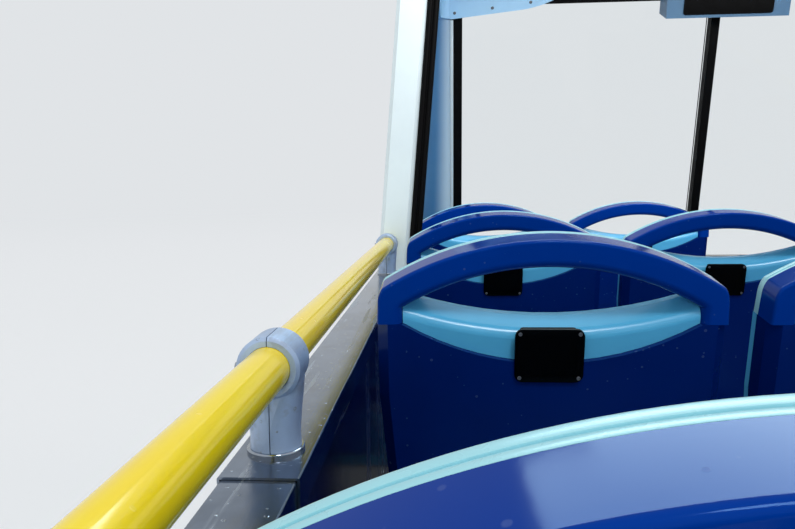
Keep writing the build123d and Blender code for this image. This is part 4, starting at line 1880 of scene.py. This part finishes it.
@dataclass
class OuterSkin:
    """The sealed joints and rivets of the outside of the side walls."""

    deck: Deck
    seam_width: float = 0.006
    seam_depth: float = 0.0012
    seam_bevel: float = 0.0004
    foot_margin: float = 0.004
    head_margin: float = 0.034
    rivet_radius: float = 0.0045
    rivet_height: float = 0.0018
    rivet_pitch: float = 0.085
    rivet_inset: float = 0.022
    front_y: float = 1.640

    def build(self) -> None:
        """Models the seams and the rivets."""
        joints = [self.deck.rear_y + bay * self.deck.bay_pitch for bay in (1, 2)]
        low, high = self.deck.wall_low + self.foot_margin, self.deck.wall_high - self.head_margin
        places = []
        for side in SIDES:
            for y in joints:
                foot, head = (Vector((side * self.deck.wall_x, y, z)) for z in (low, high))
                places.append(along(foot, head, Vector((side, 0, 0))))
        seam = bar("panel_seam", high - low, self.seam_width, self.seam_depth, self.seam_bevel)
        scatter(seam, places, "panel_seams", GASKET_BLACK)
        self.rivets(joints, low + self.rivet_inset, high - self.rivet_inset)

    def rivets(self, joints: list[float], low: float, high: float) -> None:
        """Sets a row of rivets along the foot of each wall and down both sides of each seam.

        Args:
            joints: Where the seams are.
            low: The height of the lowest rivets.
            high: The height of the highest.
        """
        first = self.deck.rear_y + self.rivet_inset
        length = self.front_y - self.deck.rear_y - 2 * self.rivet_inset
        count = round(length / self.rivet_pitch)
        spots = [(first + length * i / count, low) for i in range(count + 1)]
        count = round((high - low) / self.rivet_pitch)
        for joint in joints:
            for y in (joint - self.rivet_inset, joint + self.rivet_inset):
                spots += [(y, low + (high - low) * i / count) for i in range(1, count + 1)]
        wall_x = self.deck.wall_x
        places = [facing((side * wall_x, y, z), (side, 0, 0)) for side in SIDES for y, z in spots]
        scatter(self.rivet(), places, "skin_rivets", BODY_WHITE)

    def rivet(self) -> bpy.types.Object:
        """Models a low domed rivet head facing -Y.

        Returns:
            The rivet head.
        """
        dome = self.rivet_height * 0.7
        head = round_block("skin_rivet", self.rivet_radius, -self.rivet_height, 0.0, facets=10)
        edit_faces(head, is_front)
        bpy.ops.mesh.bevel(offset=dome, segments=2, affect="EDGES")
        outward(head)
        smooth(head, 60.0)
        return head


@dataclass
class Viewpoint:
    """The camera at the photograph's viewing angle, over the front edge of the rear seats."""

    place: Triple = (-1.0658, -1.2716, 1.1857)
    yaw: float = 3.87
    pitch: float = 6.51
    roll: float = -0.67
    focal_pixels: float = 700.0
    sensor: float = 36.0
    near: float = 0.02
    far: float = 200.0

    def build(self) -> None:
        """Adds the camera and makes it the scene's."""
        lens = bpy.data.cameras.new("Camera")
        lens.sensor_width = self.sensor
        lens.sensor_fit = "HORIZONTAL"
        lens.lens = self.focal_pixels / FRAME_WIDTH * self.sensor
        lens.clip_start = self.near
        lens.clip_end = self.far
        camera = bpy.data.objects.new("Camera", lens)
        turn = Matrix.Rotation(math.radians(self.yaw), 4, "Z")
        tilt = Matrix.Rotation(math.radians(90 - self.pitch), 4, "X")
        lean = Matrix.Rotation(math.radians(self.roll), 4, "Z")
        camera.matrix_world = Matrix.Translation(self.place) @ turn @ tilt @ lean
        bpy.context.scene.collection.objects.link(camera)
        bpy.context.scene.camera = camera


@dataclass
class Studio:
    """A pale floor that fades into a pale world, with two soft suns and three panels."""

    floor_radius: float = 60.0
    floor_depth: float = 0.02
    floor_z: float = -0.0105
    floor_colour: Colour = srgb(236, 239, 242)
    pale: Colour = (0.94, 0.97, 1.0, 1.0)
    backdrop: float = 0.80
    world_light: float = 0.60
    fade_start: float = 3.0
    fade_end: float = 30.0
    sun_spread: float = 16.0
    high_sun: float = 1.25
    high_sun_turn: Pair = (34.0, 14.0)
    rear_sun: float = 0.55
    rear_sun_turn: Pair = (86.0, 0.0)
    fill_watts: float = 13.0
    fill_size: Pair = (2.0, 0.25)
    fill_place: Triple = (0.0, 0.15, 1.86)
    fill_turn: Triple = (88.0, 0.0, 0.0)
    card_place: Triple = (0.1, 4.75, 6.45)
    card_turn: Triple = (-48.0, 0.0, -10.0)
    card_watts: float = 29.0
    card_colour: Triple = (0.68, 0.90, 1.0)

    def build(self) -> None:
        """Adds the floor, the world and the lamps."""
        self.floor()
        self.world()
        self.sun("High Sun", self.high_sun, self.high_sun_turn)
        self.sun("Rear Sun", self.rear_sun, self.rear_sun_turn).visible_glossy = False
        self.panel("Header Fill", self.fill_watts, self.fill_size, self.fill_place, self.fill_turn)
        self.card("Front Card", middle=(-0.15, -0.55), size=(5.4, 1.42))
        self.card("Front Card Low", middle=(0.5, 0.56), size=(4.0, 0.8))
        bpy.context.scene.view_settings.view_transform = "Standard"

    def floor(self) -> None:
        """Adds a large round floor at the foot of the section."""
        floor = start(
            Start.CYLINDER,
            "Floor",
            (1, 1, 1),
            vertices=96,
            radius=self.floor_radius,
            depth=self.floor_depth,
            location=(0, 0, self.floor_z),
        )
        material = bpy.data.materials.new("Studio Floor")
        material.use_nodes = True
        material.node_tree.nodes.clear()
        graph = Graph(material.node_tree)
        matt = graph.node("BsdfPrincipled", {"Base Color": self.floor_colour, "Roughness": 0.9})
        matt.inputs["Specular IOR Level"].default_value = 0.1
        glow = graph.node("Emission", {"Color": self.pale, "Strength": self.backdrop})
        reach = graph.node("VectorMath", {0: graph.object_place()}, operation="LENGTH").outputs["Value"]
        far = graph.ramp(reach, self.fade_start, self.fade_end)
        mixed = graph.node("MixShader", {0: far, 1: matt.outputs[0], 2: glow.outputs[0]})
        graph.node("OutputMaterial", {"Surface": mixed.outputs[0]})
        floor.data.materials.append(material)

    def world(self) -> None:
        """Lights the scene evenly, and shows one pale tone to the camera, glass and gloss."""
        world = bpy.data.worlds.new("Studio World")
        world.use_nodes = True
        world.node_tree.nodes.clear()
        graph = Graph(world.node_tree)
        path = graph.node("LightPath")
        seen = graph.math("MAXIMUM", path.outputs["Is Camera Ray"], path.outputs["Is Glossy Ray"])
        seen = graph.math("MAXIMUM", seen, path.outputs["Is Transmission Ray"])
        light = graph.node("Background", {"Color": (1.0, 1.0, 1.0, 1.0), "Strength": self.world_light})
        shown = graph.node("Background", {"Color": self.pale, "Strength": self.backdrop})
        mixed = graph.node("MixShader", {0: seen, 1: light.outputs[0], 2: shown.outputs[0]})
        graph.node("OutputWorld", {"Surface": mixed.outputs[0]})
        bpy.context.scene.world = world

    def card(self, name: str, middle: Pair, size: Pair) -> None:
        """Adds a panel that only gloss reflects, in the plane ahead of and above the section.

        Args:
            name: Its name.
            middle: Its middle in that plane, to the right and down, in metres.
            size: Its width and height.
        """
        turn = Matrix.LocRotScale(None, Euler([math.radians(angle) for angle in self.card_turn]), None)
        place = Vector(self.card_place) + turn @ Vector((*middle, 0.0))
        lamp = self.panel(name, self.card_watts * size[0] * size[1], size, place, self.card_turn)
        lamp.data.color = self.card_colour
        lamp.visible_diffuse = False

    @staticmethod
    def panel(name: str, watts: float, size: Pair, place: Triple, turn: Triple) -> bpy.types.Object:
        """Adds a soft panel lamp that the camera doesn't see.

        Args:
            name: Its name.
            watts: Its power.
            size: Its width and height.
            place: Where it hangs.
            turn: Its turns about X, Y and Z from straight down, in degrees.

        Returns:
            The lamp.
        """
        light = bpy.data.lights.new(name, "AREA")
        light.energy = watts
        light.shape = "RECTANGLE"
        light.size, light.size_y = size
        lamp = bpy.data.objects.new(name, light)
        lamp.location = place
        lamp.rotation_euler = [math.radians(angle) for angle in turn]
        lamp.visible_camera = False
        bpy.context.scene.collection.objects.link(lamp)
        return lamp

    def sun(self, name: str, strength: float, turn: Pair) -> bpy.types.Object:
        """Adds a soft sun that shines forwards and down.

        Args:
            name: Its name.
            strength: How strong it is.
            turn: Its turns about X and Y from straight down, in degrees.

        Returns:
            The lamp.
        """
        sun = bpy.data.lights.new(name, "SUN")
        sun.energy = strength
        sun.angle = math.radians(self.sun_spread)
        lamp = bpy.data.objects.new(name, sun)
        lamp.rotation_euler = (math.radians(turn[0]), math.radians(turn[1]), 0)
        bpy.context.scene.collection.objects.link(lamp)
        return lamp


def main() -> None:
    """Builds and dresses the section."""
    logging.basicConfig(level=logging.INFO, format="%(name)s: %(message)s")
    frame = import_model()
    Viewpoint().build()
    Studio().build()
    Carcase(frame).dress()
    rows = SeatRows()
    Hoops(rows).build()
    Upholstery(rows).build()
    BackPlates(rows).build()
    deck = Deck()
    WindscreenTrim(deck).build()
    Fixings(deck, rows).build()
    OuterSkin(deck).build()


if __name__ == "__main__":
    main()
